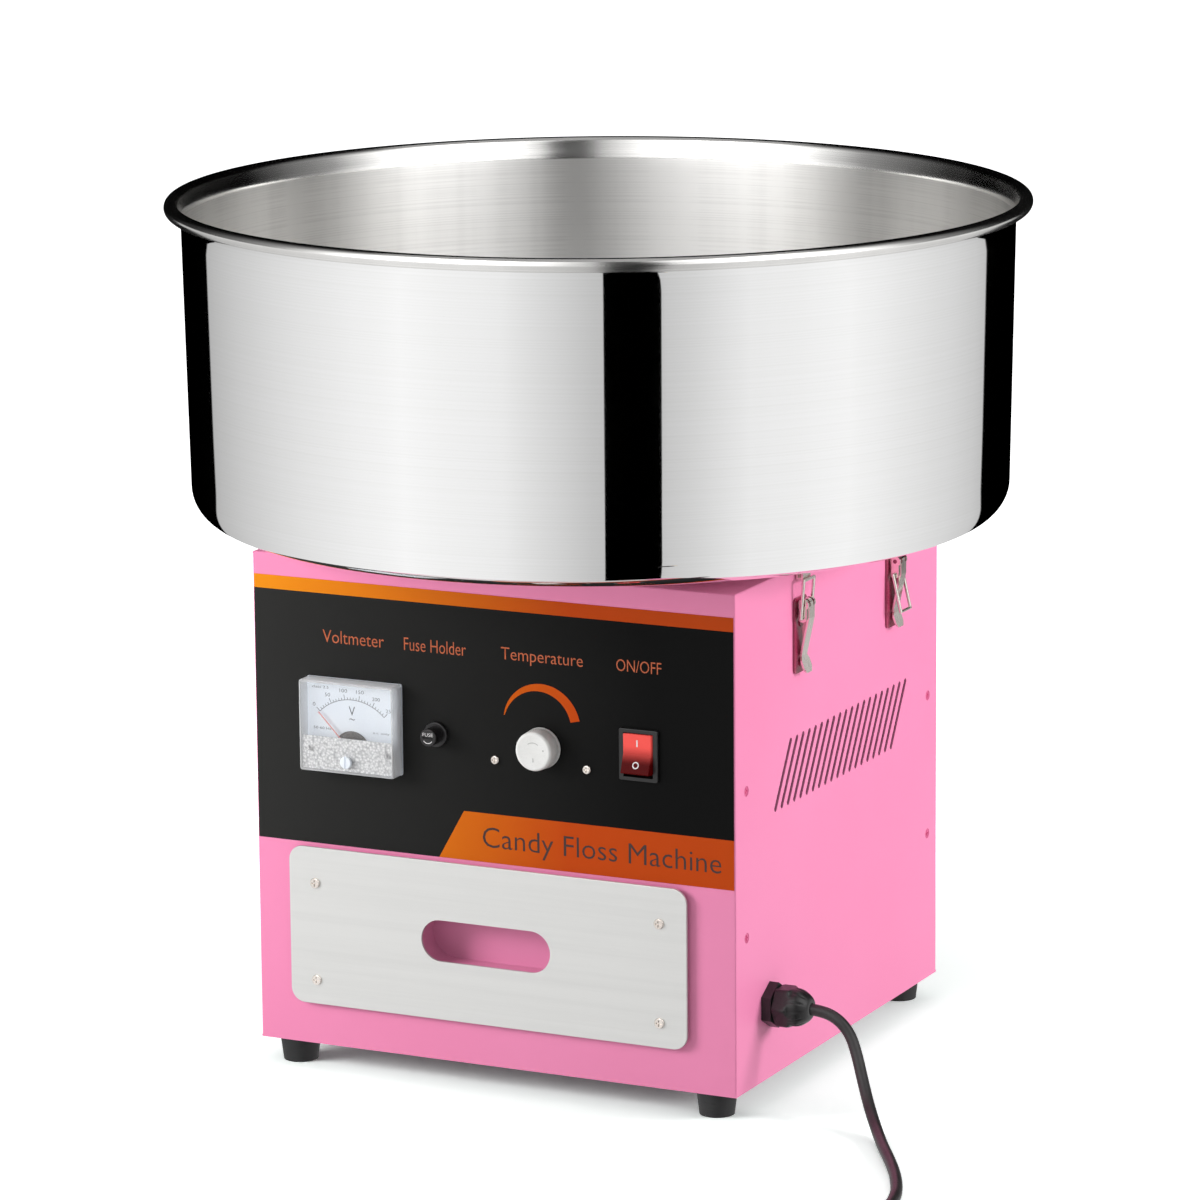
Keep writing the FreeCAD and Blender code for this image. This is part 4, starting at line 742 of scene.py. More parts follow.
# %% Plug body, blades and earth pin
plug_low, plug_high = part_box("plug")
PLUG_Y = (plug_low.y + plug_high.y) / 2
PLUG_Z = 0.01005
PATH_DRIFT = 0.01 * MM
plug_x = np.array([362, 363, 368, 373, 378, 383, 387, 389, 391, 393, 395, 397, 399,
                   401, 403, 404, 404]) * MM
plug_w = np.array([3.9, 4.3, 4.9, 6.6, 10.2, 12.6, 13.4, 12.9, 13.6, 13.1, 13.8, 13.2,
                   13.9, 13.9, 13.5, 12.6, 9.0]) * MM
plug_h = np.array([3.9, 4.3, 4.8, 5.7, 7.4, 8.8, 9.4, 9.0, 9.6, 9.2, 9.7, 9.3, 9.8,
                   9.8, 9.5, 8.8, 6.0]) * MM
# Two rings share the face's place, so a hair of drift keeps the path moving forward.
drifting_x = plug_x + np.linspace(0, PATH_DRIFT, len(plug_x))
plug_path = np.stack([drifting_x, PLUG_Y + 0 * plug_x, PLUG_Z + 0 * plug_x], axis=1)
body_points = carried(plug_path, (0, 1, 0), plug_w, plug_h, 3.2, 56)
plug_body = piece(joined_grid("plug_body", body_points, close_columns=True),
                  "cabinet", "cord_rubber", finishes["cord_rubber"])
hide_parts("plug")

BLADE_Z = 12.15 * MM
EARTH_Z = 4.8 * MM
EARTH_R = 2.4
EARTH_LENGTH = 17.6
pin_x = np.array([403, 404, 412, 419.4, 420.6, 421]) * MM
for name, offset in (("plug_blade_left", -6.35), ("plug_blade_right", 6.35)):
    path = np.stack([pin_x, PLUG_Y + offset * MM + 0 * pin_x, BLADE_Z + 0 * pin_x], axis=1)
    w = np.array([0.75, 0.75, 0.75, 0.75, 0.6, 0.3]) * MM
    h = np.array([3.15, 3.15, 3.15, 3.0, 2.5, 1.6]) * MM
    mesh = joined_grid(name, carried(path, (0, 1, 0), w, h, 7.0, 32), close_columns=True)
    piece(mesh, "cabinet", "steel", finishes["ring_brass"])
pin_profile = np.concatenate([
    [[0, 0], [EARTH_R, 0], [EARTH_R, EARTH_LENGTH]],
    arc((0, EARTH_LENGTH), EARTH_R, 0, 90, 8),
]) * MM
pin_points = turned(pin_profile, (pin_x[0], PLUG_Y, EARTH_Z), "right", 32)
earth_pin = piece(joined_grid("plug_earth_pin", pin_points, close_columns=True),
                  "cabinet", "steel", finishes["ring_brass"])

# %% [markdown]
# ## Gland nut
# The nut that clamps the cord is a hexagon whose end is drawn down to a dome
# round the cord, which also keeps the cord from being bent sharply. Its radius
# as a function of angle goes from a hexagon to a circle along its length, and
# shallow slots between the dome's fingers show where it tightens.

# %% A hexagon that turns into a dome
GLAND_CENTRE = (0.0, *CORD_EXIT[1:])
NUT_FLAT = 11.25 * MM
FINGERS = 12
FINGER_SLOT = 0.35 * MM
SLOT_EDGE = 0.72
DOME_FROM_X = 0.1755
DOME_INNER_R = 0.0085
nut_profile = np.array([
    [3.55, 164.5], [9.5, 164.5], [12.4, 164.6], [12.9, 165.4], [12.9, 171.8],
    [12.4, 173.0], [11.7, 173.6], [11.35, 174.2], [11.3, 176.2], [11.0, 177.8],
    [10.4, 179.4], [9.5, 181.0], [8.4, 182.6], [7.3, 183.9], [6.3, 184.7],
    [5.2, 185.0], [3.7, 185.0], [3.55, 184.6],
]) * MM


def nut_radius(profile, t):
    """Flat / cos(angle from the nearest flat), limited by the profile, less the dome's slots."""
    from_flat = np.mod(t, np.pi / 3) - np.pi / 6
    hexagon = NUT_FLAT / np.cos(from_flat)
    limited = np.minimum(profile[:, :1], hexagon)
    slots = FINGER_SLOT * (np.cos(FINGERS * t) > SLOT_EDGE)
    on_dome = (profile[:, 1:2] > DOME_FROM_X) & (profile[:, :1] > DOME_INNER_R)
    return limited - np.where(on_dome, slots, 0)


nut_points = turned(nut_profile, GLAND_CENTRE, "right", 144, nut_radius)
gland_nut = piece(
    joined_grid("gland_dome_nut", nut_points, close_rows=True, close_columns=True),
    "cabinet", "black_plastic", finishes["black_plastic"])
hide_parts("gland_nut")
print("gland nut faces:", len(gland_nut.data.polygons))

# %% [markdown]
# ## Bowl
# The bowl is spun from one disc of thin stainless steel. Its edge is rolled
# round a wire into a shiny bead, its wall is nearly upright, and a round corner
# leads to the flat floor with a raised lip round the head's opening. One closed
# profile, with the metal's real thickness, is turned round the axis. The faces
# on the inside get the satin finish, the others the polished one.

# %% The spun bowl's profile
bowl_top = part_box("bowl")[1].z
WALL = 0.8
FLOOR_Z = 326.0
RIM_Z = 514.4
BEAD_R = 4.2
BEAD_AT = 255.8
CORNER_R = 20.0
CORNER_AT = 227.0
WALL_SPAN_Z = (FLOOR_Z + CORNER_R, 506.4)
WALL_SPAN_R = (CORNER_AT + CORNER_R, 250.0)
wall_z = np.array([390.0, 440.0, 480.0, 498.0])
wall_r = np.interp(wall_z, WALL_SPAN_Z, WALL_SPAN_R)
outer_wall = np.concatenate([
    [[90.0, 334.0], [90.0, 326.8], [90.4, 326.1], [91.2, FLOOR_Z], [160.0, FLOOR_Z]],
    arc((CORNER_AT, FLOOR_Z + CORNER_R), CORNER_R, -90, 0, 14),
    np.stack([wall_r, wall_z], axis=1),
    [[250.0, 505.2], [250.35, 507.4], [251.1, 509.4], [252.1, 511.2]],
])
bead = np.concatenate([
    arc((BEAD_AT, RIM_Z), BEAD_R, -138, 172, 30),
    [[250.9, 511.6], [250.1, 509.6], [249.5, 507.6]],
])
inner_side = np.concatenate([
    [[249.2, 505.2]],
    np.stack([wall_r - WALL, wall_z], axis=1)[::-1],
    arc((CORNER_AT, FLOOR_Z + CORNER_R), CORNER_R - WALL, 0, -90, 14),
    [[160.0, 326.8], [91.6, 326.8], [90.9, 327.4], [90.8, 334.0]],
])
bowl_profile = np.concatenate([outer_wall, bead, inner_side]) * MM
side_of_row = np.repeat([0, 1, 2], [len(outer_wall), len(bead), len(inner_side)])
bowl_points = turned(bowl_profile, (0, 0, 0), "up", 288)
bowl_mesh = joined_grid("spun_bowl", bowl_points, close_rows=True, close_columns=True,
                        finish_of_row=side_of_row)
bowl = piece(bowl_mesh, "bowl", "bowl_steel", bowl_outside, bowl_bead, bowl_inside)
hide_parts("bowl")
print("bowl:", len(bowl_mesh.polygons), "faces, top at", round(bowl_top, 4))

# %% [markdown]
# ## Meter
# The meter's cover is a clear moulded box: a flat window, side walls that look
# paler where they are seen edge on, and bright rounded corners. It is a rounded
# rectangle drawn at several depths and insets. Behind it, the dial carries a
# printed arc with ticks and numbers, a volts mark and two lines of small print.

# %% The clear cover
film_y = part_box("film_black")[0].y
dial_low, dial_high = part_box("meter_dial")
METER_X = (dial_low.x + dial_high.x) / 2
METER_Z = 215.1 * MM
COVER_W = 63.0 * MM
COVER_H = 55.2 * MM
COVER_CORNER = 1.5 * MM
PIVOT = (METER_X, METER_Z - 14.9 * MM)


def on_meter(points):
    """Points drawn round the meter's middle, moved to its place on the panel."""
    return points + np.array([METER_X, film_y, METER_Z])


wall_inset = np.array([0, 0, 0.15, 0.5, 1.0, 1.3, 1.3, 1.1, 0]) * MM
wall_depth = -np.array([1.5, 11.6, 12.1, 12.4, 12.5, 12.3, 1.9, 1.5, 1.5]) * MM
wall_points = on_meter(rounded_frame(COVER_W, COVER_H, COVER_CORNER, wall_inset, wall_depth))
cover_walls = piece(joined_grid("meter_cover_walls", wall_points, close_columns=True),
                    "cabinet", "clear_cover", cover_wall)
pane_inset = np.array([COVER_H / 2 / MM, 14, 1.25, 1.25, 14, COVER_H / 2 / MM]) * MM
pane_depth = -np.array([12.45, 12.45, 12.45, 11.2, 11.2, 11.2]) * MM
pane_points = on_meter(rounded_frame(COVER_W, COVER_H, COVER_CORNER, pane_inset, pane_depth))
cover_pane = piece(joined_grid("meter_cover_window", pane_points, close_columns=True),
                   "cabinet", "clear_cover", cover_window)
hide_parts("meter_cover")
print("cover pieces:", cover_walls.name, cover_pane.name)

# %% The dark shield over the movement
shield_profile = np.array([[0, 4.65], [12.0, 4.65], [12.0, 5.2], [11.6, 5.45], [9.4, 5.45],
                           [9.2, 5.2], [7.4, 5.2], [7.2, 5.45], [0, 5.45]]) * MM
shield_points = turned(shield_profile, (PIVOT[0], film_y, PIVOT[1]), "front", 64)
shield = piece(joined_grid("movement_shield", shield_points, close_columns=True),
               "cabinet", "meter_dark", finishes["meter_dark"])
print("shield faces:", len(shield.data.polygons))

# %% [markdown]
# ## Printing
# Printed marks are thin flat meshes a hair above the surface. Arcs and ticks
# are two-parameter sectors of a ring: an angle and a radius. Words are text
# curves turned into meshes, then fitted to the width and height they have on
# the panel.

# %% Flat marks from numbers
INK_LIFT = 0.06 * MM


def ring_sector(centre, radius, half_width, start, end, steps):
    """Point = centre + (radius + s half_width) (cos t, sin t), for s from -1 to 1."""
    t = np.radians(np.linspace(start, end, steps))
    spread = np.asarray(half_width, float) * np.ones_like(t)
    r = radius + np.array([-1.0, 1.0])[:, None] * spread
    x = centre[0] + r * np.cos(t)
    z = centre[1] + r * np.sin(t)
    return np.stack([x, z], axis=-1)


def thin_mesh(name, grids, y):
    """Flat grids of (x, z) points, laid at one depth y, with faces that look to the front."""
    points = []
    quads = []
    start = 0
    for grid in grids:
        rows, columns = grid.shape[:2]
        index = start + np.arange(rows * columns).reshape(rows, columns)
        corners = (index[:-1, :-1], index[:-1, 1:], index[1:, 1:], index[1:, :-1])
        quads.append(np.stack(corners, axis=-1).reshape(-1, 4))
        points.append(np.insert(grid, 1, y, axis=-1).reshape(-1, 3))
        start += rows * columns
    mesh = bpy.data.meshes.new(name)
    mesh.from_pydata(np.concatenate(points).tolist(), [], np.concatenate(quads).tolist())
    work = bmesh.new()
    work.from_mesh(mesh)
    for face in work.faces:
        face.normal_update()
    backwards = [face for face in work.faces if face.normal.y > 0]
    bmesh.ops.reverse_faces(work, faces=backwards)
    work.to_mesh(mesh)
    work.free()
    return mesh


def bar(x0, x1, z0, z1):
    """A small rectangle as a two by two grid."""
    return np.array([[[x0, z0], [x1, z0]], [[x0, z1], [x1, z1]]])


# %% Words as meshes
def words_mesh(name, words, x0, x1, z0, z1, y):
    """Text turned into a mesh and stretched to fill a rectangle on the front."""
    text = bpy.data.curves.new(name, "FONT")
    text.body = words
    text.resolution_u = 3
    text.offset = -0.006
    holder = bpy.data.objects.new(name + "_text", text)
    bpy.context.scene.collection.objects.link(holder)
    bpy.context.view_layer.update()
    graph = bpy.context.evaluated_depsgraph_get()
    mesh = bpy.data.meshes.new_from_object(holder.evaluated_get(graph))
    bpy.data.objects.remove(holder)
    flat = np.empty(len(mesh.vertices) * 3)
    mesh.vertices.foreach_get("co", flat)
    flat = flat.reshape(-1, 3)
    low = flat.min(axis=0)
    size = np.maximum(flat.max(axis=0) - low, 1e-9)
    share = (flat - low) / size
    placed_at = np.stack([x0 + share[:, 0] * (x1 - x0), y + 0 * share[:, 0],
                          z0 + share[:, 1] * (z1 - z0)], axis=1)
    mesh.vertices.foreach_set("co", placed_at.ravel())
    mesh.name = name
    mesh.update()
    mesh.materials.clear()
    return mesh


def printed(name, words, left, right, low, high, y, body, slot, finish):
    """A word on the front; its sides are given in millimetres."""
    mesh = words_mesh(name, words, left * MM, right * MM, low * MM, high * MM, y)
    return piece(mesh, body, slot, finish)


# %% Inks
ink_orange = moulded("orange_label_ink", srgb(198, 96, 50), srgb(176, 82, 42), (0.4, 0.5),
                     cloud=160.0, grain=2600.0, height=0.005)
ink_dark = moulded("dark_banner_ink", srgb(58, 28, 16), srgb(44, 20, 12), (0.4, 0.5),
                   cloud=120.0, grain=2600.0, height=0.005)
ink_dial = moulded("dial_ink", srgb(62, 68, 80), srgb(44, 50, 60), (0.4, 0.5),
                   cloud=400.0, grain=2600.0, height=0.002)
ink_white = moulded("white_mark_ink", srgb(240, 238, 238), srgb(226, 224, 224), (0.35, 0.5),
                    cloud=300.0, grain=2600.0, height=0.002)
ink_grey = moulded("grey_knob_mark", srgb(196, 196, 194), srgb(182, 182, 180), (0.4, 0.5),
                   cloud=300.0, grain=2600.0, height=0.002)

# %% Words and the heat arc on the panel
panel_y = film_y - INK_LIFT
LABELS = [
    ("label_volts", "Voltmeter", -111.0, -70.0, 263.6, 271.3),
    ("label_fuse", "Fuse Holder", -56.6, -15.6, 263.6, 271.3),
    ("label_heat", "Temperature", 7.5, 60.8, 261.6, 271.3),
    ("label_switch", "ON/OFF", 82.4, 111.3, 263.9, 271.0),
]
for name, words, left, right, low, high in LABELS:
    printed(name, words, left, right, low, high, panel_y, "cabinet", "orange_film", ink_orange)
printed("banner_words", "Candy Floss Machine", -6.0, 149.0, 145.2, 161.6, panel_y,
        "cabinet", "black_film", ink_dark)

# The arc's half width grows from 0.25 mm by 2.75 mm times sin(share of a quarter turn) ^ 0.9.
ARC_STEPS = 49
ARC_CENTRE = (32.3 * MM, 225.4 * MM)
ARC_R = 23.7 * MM
share = np.linspace(0, 1, ARC_STEPS)
arc_width = (0.25 + 2.75 * np.sin(share * np.pi / 2) ** 0.9) * MM
arc_points = ring_sector(ARC_CENTRE, ARC_R, arc_width, 167.3, 12.9, ARC_STEPS)
piece(thin_mesh("heat_arc", [arc_points], panel_y), "cabinet", "orange_film",
      finishes["orange_film"])
print("labels:", [row[1] for row in LABELS])

# %% The dial's arc, ticks and numbers
dial_y = dial_low.y - 0.04 * MM
SCALE_R = 31.0 * MM
LINE_HALF = 0.16 * MM
HALF_SWEEP = 44.0
TICK_STEPS = 25
LONG_EVERY = 5
marks = [ring_sector(PIVOT, SCALE_R, LINE_HALF, 90 + HALF_SWEEP, 90 - HALF_SWEEP, 41)]
half = math.degrees(LINE_HALF / SCALE_R)
for k in range(TICK_STEPS + 1):
    angle = 90 + HALF_SWEEP - k * 2 * HALF_SWEEP / TICK_STEPS
    reach = 3.2 if k % LONG_EVERY == 0 else 1.5
    middle = SCALE_R + reach / 2 * MM
    marks.append(ring_sector(PIVOT, middle, reach / 2 * MM, angle + half, angle - half, 2))
piece(thin_mesh("dial_scale", marks, dial_y), "cabinet", "meter_dark", ink_dial)
NUMBER_R = 36.6
DIGIT_HALF_W = 0.85
DIGIT_HALF_H = 1.1
for k, number in enumerate(("0", "50", "100", "150", "200", "250")):
    angle = math.radians(90 + HALF_SWEEP - k * 2 * HALF_SWEEP * LONG_EVERY / TICK_STEPS)
    x = PIVOT[0] / MM + NUMBER_R * math.cos(angle)
    z = PIVOT[1] / MM + NUMBER_R * math.sin(angle)
    half = DIGIT_HALF_W * len(number)
    printed("dial_number_" + number, number, x - half, x + half, z - DIGIT_HALF_H,
            z + DIGIT_HALF_H, dial_y, "cabinet", "meter_dark", ink_dial)
vx = METER_X / MM
DIAL_WORDS = [
    ("dial_volts", "V", -2.1, 2.1, 221.6, 227.2),
    ("dial_wave", "~", -1.8, 1.8, 218.8, 219.9),
    ("dial_class", "class 2.5", -26.5, -15.5, 236.6, 238.2),
    ("dial_mains", "50-60 Hz", -26.0, -14.0, 211.6, 213.2),
    ("dial_ac", "a.c. only", 14.0, 25.0, 211.6, 213.2),
]
for name, words, left, right, low, high in DIAL_WORDS:
    printed(name, words, vx + left, vx + right, low, high, dial_y,
            "cabinet", "meter_dark", ink_dial)
print("dial words:", [row[1] for row in DIAL_WORDS])

# %% [markdown]
# ## Knob and fuse cap
# The heat knob is a turned piece of white plastic: a short skirt, a slightly
# tapered side, a soft edge and a face that is very slightly dished. It is a
# profile turned round the knob's own axis. Small grey marks are printed on its
# face. The fuse cap gets a white word and a curved arrow, and the rocker gets
# its on and off marks, which are laid on its two slopes.

# %% The heat knob
KNOB_X = 34.0 * MM
KNOB_Z = 213.4 * MM
knob_profile = np.concatenate([
    [[0, 0.6], [11.6, 0.6], [12.15, 0.8], [12.3, 1.3], [12.3, 2.4], [12.12, 2.75],
     [12.08, 3.1], [12.2, 3.4]],
    arc((9.95, 11.0), 1.8, 12, 84, 9),
    [[9.4, 12.76], [8.6, 12.66], [5.0, 12.52], [0, 12.45]],
]) * MM
knob_points = turned(knob_profile, (KNOB_X, film_y, KNOB_Z), "front", 96)
knob = piece(joined_grid("heat_knob", knob_points, close_columns=True), "knob",
             "white_plastic", finishes["white_plastic"])
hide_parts("knob")
face_y = film_y - 12.72 * MM
knob_marks = [
    ring_sector((KNOB_X, KNOB_Z), 5.4 * MM, 0.22 * MM, 128, 52, 17),
    ring_sector((KNOB_X + 6.6 * MM, KNOB_Z + 1.2 * MM), 0.25 * MM, 0.25 * MM, 0, 360, 17),
    bar(KNOB_X - 0.25 * MM, KNOB_X + 0.25 * MM, KNOB_Z - 6.2 * MM, KNOB_Z - 3.8 * MM),
]
piece(thin_mesh("knob_marks", knob_marks, face_y), "knob", "white_plastic", ink_grey)
print("knob faces:", len(knob.data.polygons))

# %% Marks on the fuse cap and on the rocker
FUSE_X = -35.4
FUSE_Z = 214.9
cap_y = film_y - 12.06 * MM
printed("fuse_word", "FUSE", FUSE_X - 3.4, FUSE_X + 3.4, FUSE_Z + 0.9, FUSE_Z + 2.9,
        cap_y, "fuse_cap", "black_plastic", ink_white)
arrow = ring_sector((FUSE_X * MM, FUSE_Z * MM), 3.3 * MM, 0.22 * MM, 215, 325, 19)
piece(thin_mesh("fuse_arrow", [arrow], cap_y), "fuse_cap", "black_plastic", ink_white)

ROCKER_X = 97.0 * MM
ROCKER_Z = 215.1 * MM
ROCKER_HALF = 11.7 * MM
ROCKER_MIDDLE = 3.4 * MM
ROCKER_RISE = 2.2 * MM
ROCKER_PIVOT = 2.0 * MM
MARK_LIFT = 0.05 * MM
TIP_BACK = math.radians(10)


def on_rocker(mesh, upper):
    """Depth grows with the height from the middle, then all turns round the pivot by TIP_BACK."""
    flat = np.empty(len(mesh.vertices) * 3)
    mesh.vertices.foreach_get("co", flat)
    x, _, z = flat.reshape(-1, 3).T
    z = z - ROCKER_Z
    slope = ROCKER_RISE * (z if upper else -z) / ROCKER_HALF
    y = -ROCKER_MIDDLE - slope - MARK_LIFT - ROCKER_PIVOT
    new_y = y * math.cos(TIP_BACK) + z * math.sin(TIP_BACK)
    new_z = -y * math.sin(TIP_BACK) + z * math.cos(TIP_BACK)
    moved = np.stack([x, film_y + ROCKER_PIVOT + new_y, ROCKER_Z + new_z], axis=1)
    mesh.vertices.foreach_set("co", moved.ravel())
    mesh.update()
    return mesh


stroke = bar(ROCKER_X - 0.42 * MM, ROCKER_X + 0.42 * MM,
             ROCKER_Z + 4.4 * MM, ROCKER_Z + 8.4 * MM)
circle_mark = ring_sector((ROCKER_X, ROCKER_Z - 6.4 * MM), 1.75 * MM, 0.36 * MM, 0, 360, 33)
on_mark = on_rocker(thin_mesh("rocker_on_mark", [stroke], 0.0), True)
off_mark = on_rocker(thin_mesh("rocker_off_mark", [circle_mark], 0.0), False)
piece(on_mark, "switch_rocker", "white_plastic", ink_white)
piece(off_mark, "switch_rocker", "white_plastic", ink_white)
print("marks on the fuse cap and the rocker placed")

# %% [markdown]
# ## Studio
# The machine stands on a plain pale floor in even light. The floor looks
# lighter to the camera than it is for the light that it throws back, and its
# tone rises with the distance, so it runs into the backdrop with no edge. Two
# soft lights, made last, give the front and the right side their brightness.

# %% Floor and world
FLOOR_HALF = 20.0
FADE_FROM = 0.22
FADE_TO = 0.75
NEAR_TONE = (1.48, 1.56, 1.53, 1)
FAR_TONE = (3.4, 3.4, 3.4, 1)
BOUNCE_TONE = (0.72, 0.72, 0.72, 1)
floor_mesh = bpy.data.meshes.new("floor")
floor_corners = [(-FLOOR_HALF, -FLOOR_HALF, 0), (FLOOR_HALF, -FLOOR_HALF, 0),
                 (FLOOR_HALF, FLOOR_HALF, 0), (-FLOOR_HALF, FLOOR_HALF, 0)]
floor_mesh.from_pydata(floor_corners, [], [(0, 1, 2, 3)])
floor = bpy.data.objects.new("floor", floor_mesh)
bpy.context.scene.collection.objects.link(floor)
floor_paper = bpy.data.materials.new("white_floor_paper")
floor_paper.use_nodes = True
tree = floor_paper.node_tree
tree.nodes.remove(tree.nodes["Principled BSDF"])
place = tree.nodes.new("ShaderNodeTexCoord")
away = tree.nodes.new("ShaderNodeVectorMath")
away.operation = "LENGTH"
tree.links.new(place.outputs["Object"], away.inputs[0])
fade = tree.nodes.new("ShaderNodeMapRange")
fade.interpolation_type = "SMOOTHSTEP"
fade.inputs["From Min"].default_value = FADE_FROM
fade.inputs["From Max"].default_value = FADE_TO
tree.links.new(away.outputs["Value"], fade.inputs["Value"])
seen_tone = mixed(tree, fade.outputs["Result"], NEAR_TONE, FAR_TONE)
ray = tree.nodes.new("ShaderNodeLightPath")
paper_tone = mixed(tree, ray.outputs["Is Camera Ray"], BOUNCE_TONE, FAR_TONE)
tree.links.new(seen_tone, paper_tone.node.inputs["B"])
paper = tree.nodes.new("ShaderNodeBsdfDiffuse")
tree.links.new(paper_tone, paper.inputs["Color"])
tree.links.new(paper.outputs["BSDF"], tree.nodes["Material Output"].inputs["Surface"])
floor_mesh.materials.append(floor_paper)
floor.visible_glossy = False

WORLD_LIGHT = 0.42
BACKDROP = 1.07
GLOSSY_EXTRA = 0.02
world = bpy.data.worlds.new("even_studio_light")
world.use_nodes = True
tree = world.node_tree
sky = tree.nodes["Background"]
sky.inputs["Color"].default_value = (1.0, 1.0, 1.0, 1.0)
ray = tree.nodes.new("ShaderNodeLightPath")
seen = ranged(tree, ray.outputs["Is Camera Ray"], WORLD_LIGHT, BACKDROP)
strength = summed(tree, seen, ray.outputs["Is Glossy Ray"], GLOSSY_EXTRA)
tree.links.new(strength, sky.inputs["Strength"])
bpy.context.scene.world = world
print("floor and world placed")

# %% [markdown]
# ## What the bright metal mirrors
# A polished bowl shows whatever surrounds it, so white and black cards stand
# round it, as in a photographer's studio. They are two sheets of light that
# only reflections see. The first is a ring of upright cards all round. The
# second is shaped by the bowl itself: every point of it lies where the bowl's
# outside sends a line of sight of this one camera, so a column of the sheet
# lights one upright column of the bowl. Its brightness is set by the bowl's
# angle, counted from the camera, and so its panels fall right from this side
# only.


# %% A sheet of light with a brightness for each face
def lit_sheet(name, points, brightness):
    """A grid of faces that gives out light, each with the brightness of its own face."""
    rows, columns = points.shape[:2]
    index = np.arange(rows * columns).reshape(rows, columns)
    faces = np.stack([index[:-1, :-1], index[:-1, 1:], index[1:, 1:], index[1:, :-1]], axis=-1)
    mesh = bpy.data.meshes.new(name)
    mesh.from_pydata(points.reshape(-1, 3).tolist(), [], faces.reshape(-1, 4).tolist())
    shade = mesh.attributes.new("brightness", "FLOAT", "FACE")
    shade.data.foreach_set("value", brightness.astype(np.float32).ravel())
    mesh.materials.append(card_paint)
    sheet = bpy.data.objects.new(name, mesh)
    bpy.context.scene.collection.objects.link(sheet)
    sheet.visible_camera = False
    sheet.visible_diffuse = False
    sheet.visible_shadow = False
    sheet.visible_transmission = False
    sheet.visible_volume_scatter = False
    return sheet


card_paint = bpy.data.materials.new("card_brightness")
card_paint.use_nodes = True
tree = card_paint.node_tree
tree.nodes.remove(tree.nodes["Principled BSDF"])
reader = tree.nodes.new("ShaderNodeAttribute")
reader.attribute_name = "brightness"
lamp = tree.nodes.new("ShaderNodeEmission")
tree.links.new(reader.outputs["Fac"], lamp.inputs["Strength"])
tree.links.new(lamp.outputs["Emission"], tree.nodes["Material Output"].inputs["Surface"])

# %% The ring of upright cards
RING_R = 1.6
RING_HEIGHTS = (-0.9, 0.5, 3.2)
RING_COLUMNS = 720
UPPER_AT = [-180, -124, -88, -72, -58, -45, -22, 0, 22, 45, 58, 72, 88, 124, 180]
UPPER_SHARE = [0.0, 0.05, 0.4, 1.2, 2.4, 2.8, 1.9, 1.0, 1.9, 2.8, 2.6, 1.2, 0.35, 0.0, 0.0]
CARD_AT = [-171, -135.4, -135.2, -123, -100, -84, -66, -50, -34, -15.5, -2, 0.9, 1.1,
           15.8, 16.0, 19, 28, 40, 56, 74, 100, 114, 131.6, 131.8, 171]
CARD_LIGHT = [0, 0, 0.58, 0.62, 0.78, 0.88, 0.98, 1.08, 1.03, 0.94, 0.62, 0.58, 0,
              0, 0.58, 0.64, 0.80, 0.94, 1.01, 1.04, 0.94, 0.82, 0.62, 0, 0]
bearing = np.linspace(-180, 180, RING_COLUMNS + 1)
card_glow = np.interp(bearing[:-1] + 180 / RING_COLUMNS, CARD_AT, CARD_LIGHT, left=0, right=0)
direction = CAMERA_AZIMUTH + np.radians(bearing)
ring_points = np.stack([
    np.stack([RING_R * np.sin(direction), -RING_R * np.cos(direction),
              np.full(direction.shape, height)], axis=1)
    for height in RING_HEIGHTS
])
upper_glow = card_glow * np.interp(bearing[:-1], UPPER_AT, UPPER_SHARE)
lit_sheet("ring_of_cards", ring_points, np.stack([card_glow, upper_glow]))
print("ring: brightest", round(float(upper_glow.max()), 2))

# %% The sheet that the bowl's outside mirrors
SHEET_REACH = 1.2
PANEL_AT = [-89, -66.5, -66.3, -63.6, -43.2, -26.8, -12.9, -1.2, 0.5, 0.6,
            8.0, 8.1, 9.2, 19.9, 34.8, 49.6, 61.0, 64.5, 64.7, 89]
PANEL_LIGHT = [0, 0, 0.49, 0.54, 0.835, 1.02, 0.90, 0.59, 0.56, 0,
               0, 0.60, 0.63, 0.89, 0.99, 0.80, 0.64, 0.56, 0, 0]
HALF_VIEW = 85
SHEET_COLUMNS = 681
WALL_ROWS = 5
CORNER_ROWS = 40
WALL_TOP = 0.506
WALL_LOW = 0.352
CORNER_TOP = 0.346
CORNER_TOP_R = 0.247
WALL_TOP_R = 0.250
BOWL_CORNER = 0.020
GRAZING = 0.02
turn = np.radians(np.linspace(-HALF_VIEW, HALF_VIEW, SHEET_COLUMNS))[None, :]
wall_tilt = math.atan2(WALL_TOP_R - CORNER_TOP_R, WALL_TOP - CORNER_TOP)
fall = np.concatenate([np.zeros(WALL_ROWS), np.linspace(0, 1, CORNER_ROWS)])[:, None]
steepest = np.arctan(np.cos(turn) / math.tan(CAMERA_ELEVATION)) - GRAZING
tilt = wall_tilt + fall * np.maximum(steepest - wall_tilt, 0)
wall_rows = np.linspace(WALL_TOP, WALL_LOW, WALL_ROWS)
wall_high = np.concatenate([wall_rows, np.full(CORNER_ROWS, CORNER_TOP)])[:, None]
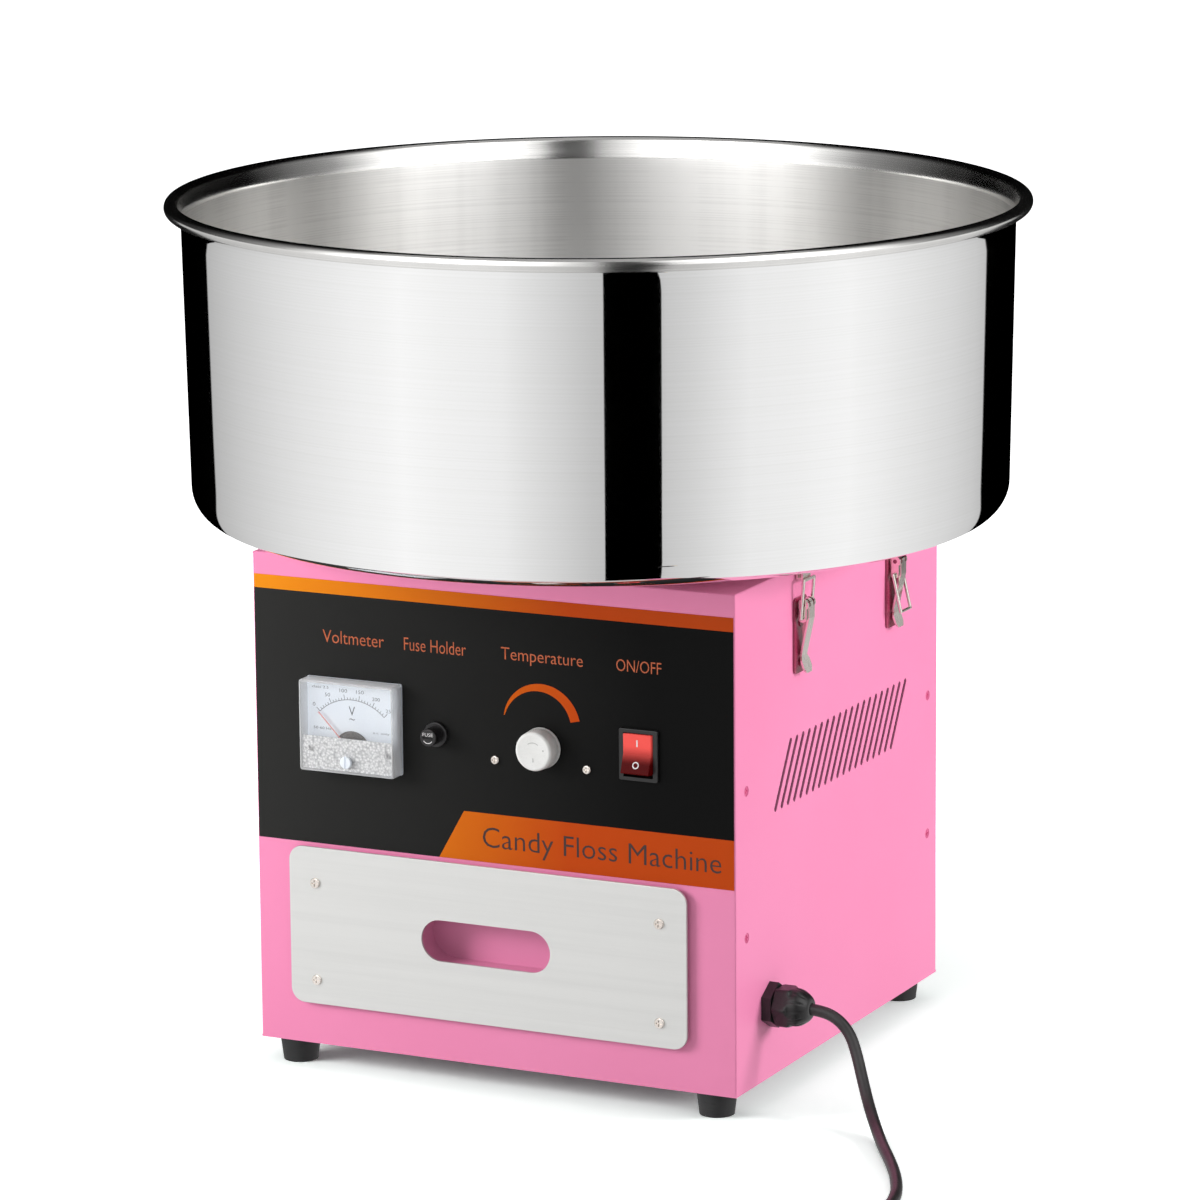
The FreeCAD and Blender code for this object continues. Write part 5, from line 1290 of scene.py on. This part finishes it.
wall_radius = np.interp(wall_high, [CORNER_TOP, WALL_TOP], [CORNER_TOP_R, WALL_TOP_R])
# The corner's arc: radius falls by corner (1 - cos tilt), height by corner sin tilt.
radius = wall_radius - BOWL_CORNER * (1 - np.cos(tilt))
high = wall_high - BOWL_CORNER * np.sin(tilt)
facing = CAMERA_AZIMUTH + turn
outward = np.stack([np.cos(tilt) * np.sin(facing), -np.cos(tilt) * np.cos(facing),
                    -np.sin(tilt) + 0 * facing], axis=-1)
touch = np.stack([radius * np.sin(facing), -radius * np.cos(facing), high + 0 * facing], axis=-1)
sight = touch - np.array(camera.location)
sight /= np.linalg.norm(sight, axis=-1, keepdims=True)
# A mirrored line of sight = sight - 2 (sight . outward) outward.
mirrored = sight - 2 * (sight * outward).sum(axis=-1, keepdims=True) * outward
sheet_points = touch + SHEET_REACH * mirrored
middle = np.degrees((turn[0, :-1] + turn[0, 1:]) / 2)
panel_glow = np.interp(middle, PANEL_AT, PANEL_LIGHT)
bowl_sheet = lit_sheet("bowl_light_sheet", sheet_points,
                       np.repeat(panel_glow[None, :], len(fall) - 1, axis=0))
print("bowl sheet:", len(bowl_sheet.data.polygons), "faces")


# %% Soft lights
def soft_light(name, place, aim_at, size, power):
    """A square area light that faces a point."""
    light = bpy.data.lights.new(name, "AREA")
    light.shape = "SQUARE"
    light.size = size
    light.energy = power
    lamp_object = bpy.data.objects.new(name, light)
    bpy.context.scene.collection.objects.link(lamp_object)
    lamp_object.location = place
    line_of_sight = Vector(aim_at) - Vector(place)
    lamp_object.rotation_mode = "QUATERNION"
    lamp_object.rotation_quaternion = line_of_sight.to_track_quat("-Z", "Y")
    lamp_object.visible_glossy = False
    return lamp_object


soft_light("left_front_light", (-0.95, -0.85, 0.55), (-0.12, -0.15, 0.2), 0.5, 11.5)
soft_light("right_light", (1.5, 0.45, 0.6), (0.15, 0.0, 0.2), 0.5, 15.0)
print("lights placed")

# %% [markdown]
# ## Last lines
# The looks must stay inside the engineering model's box.

# %% Import json
import json
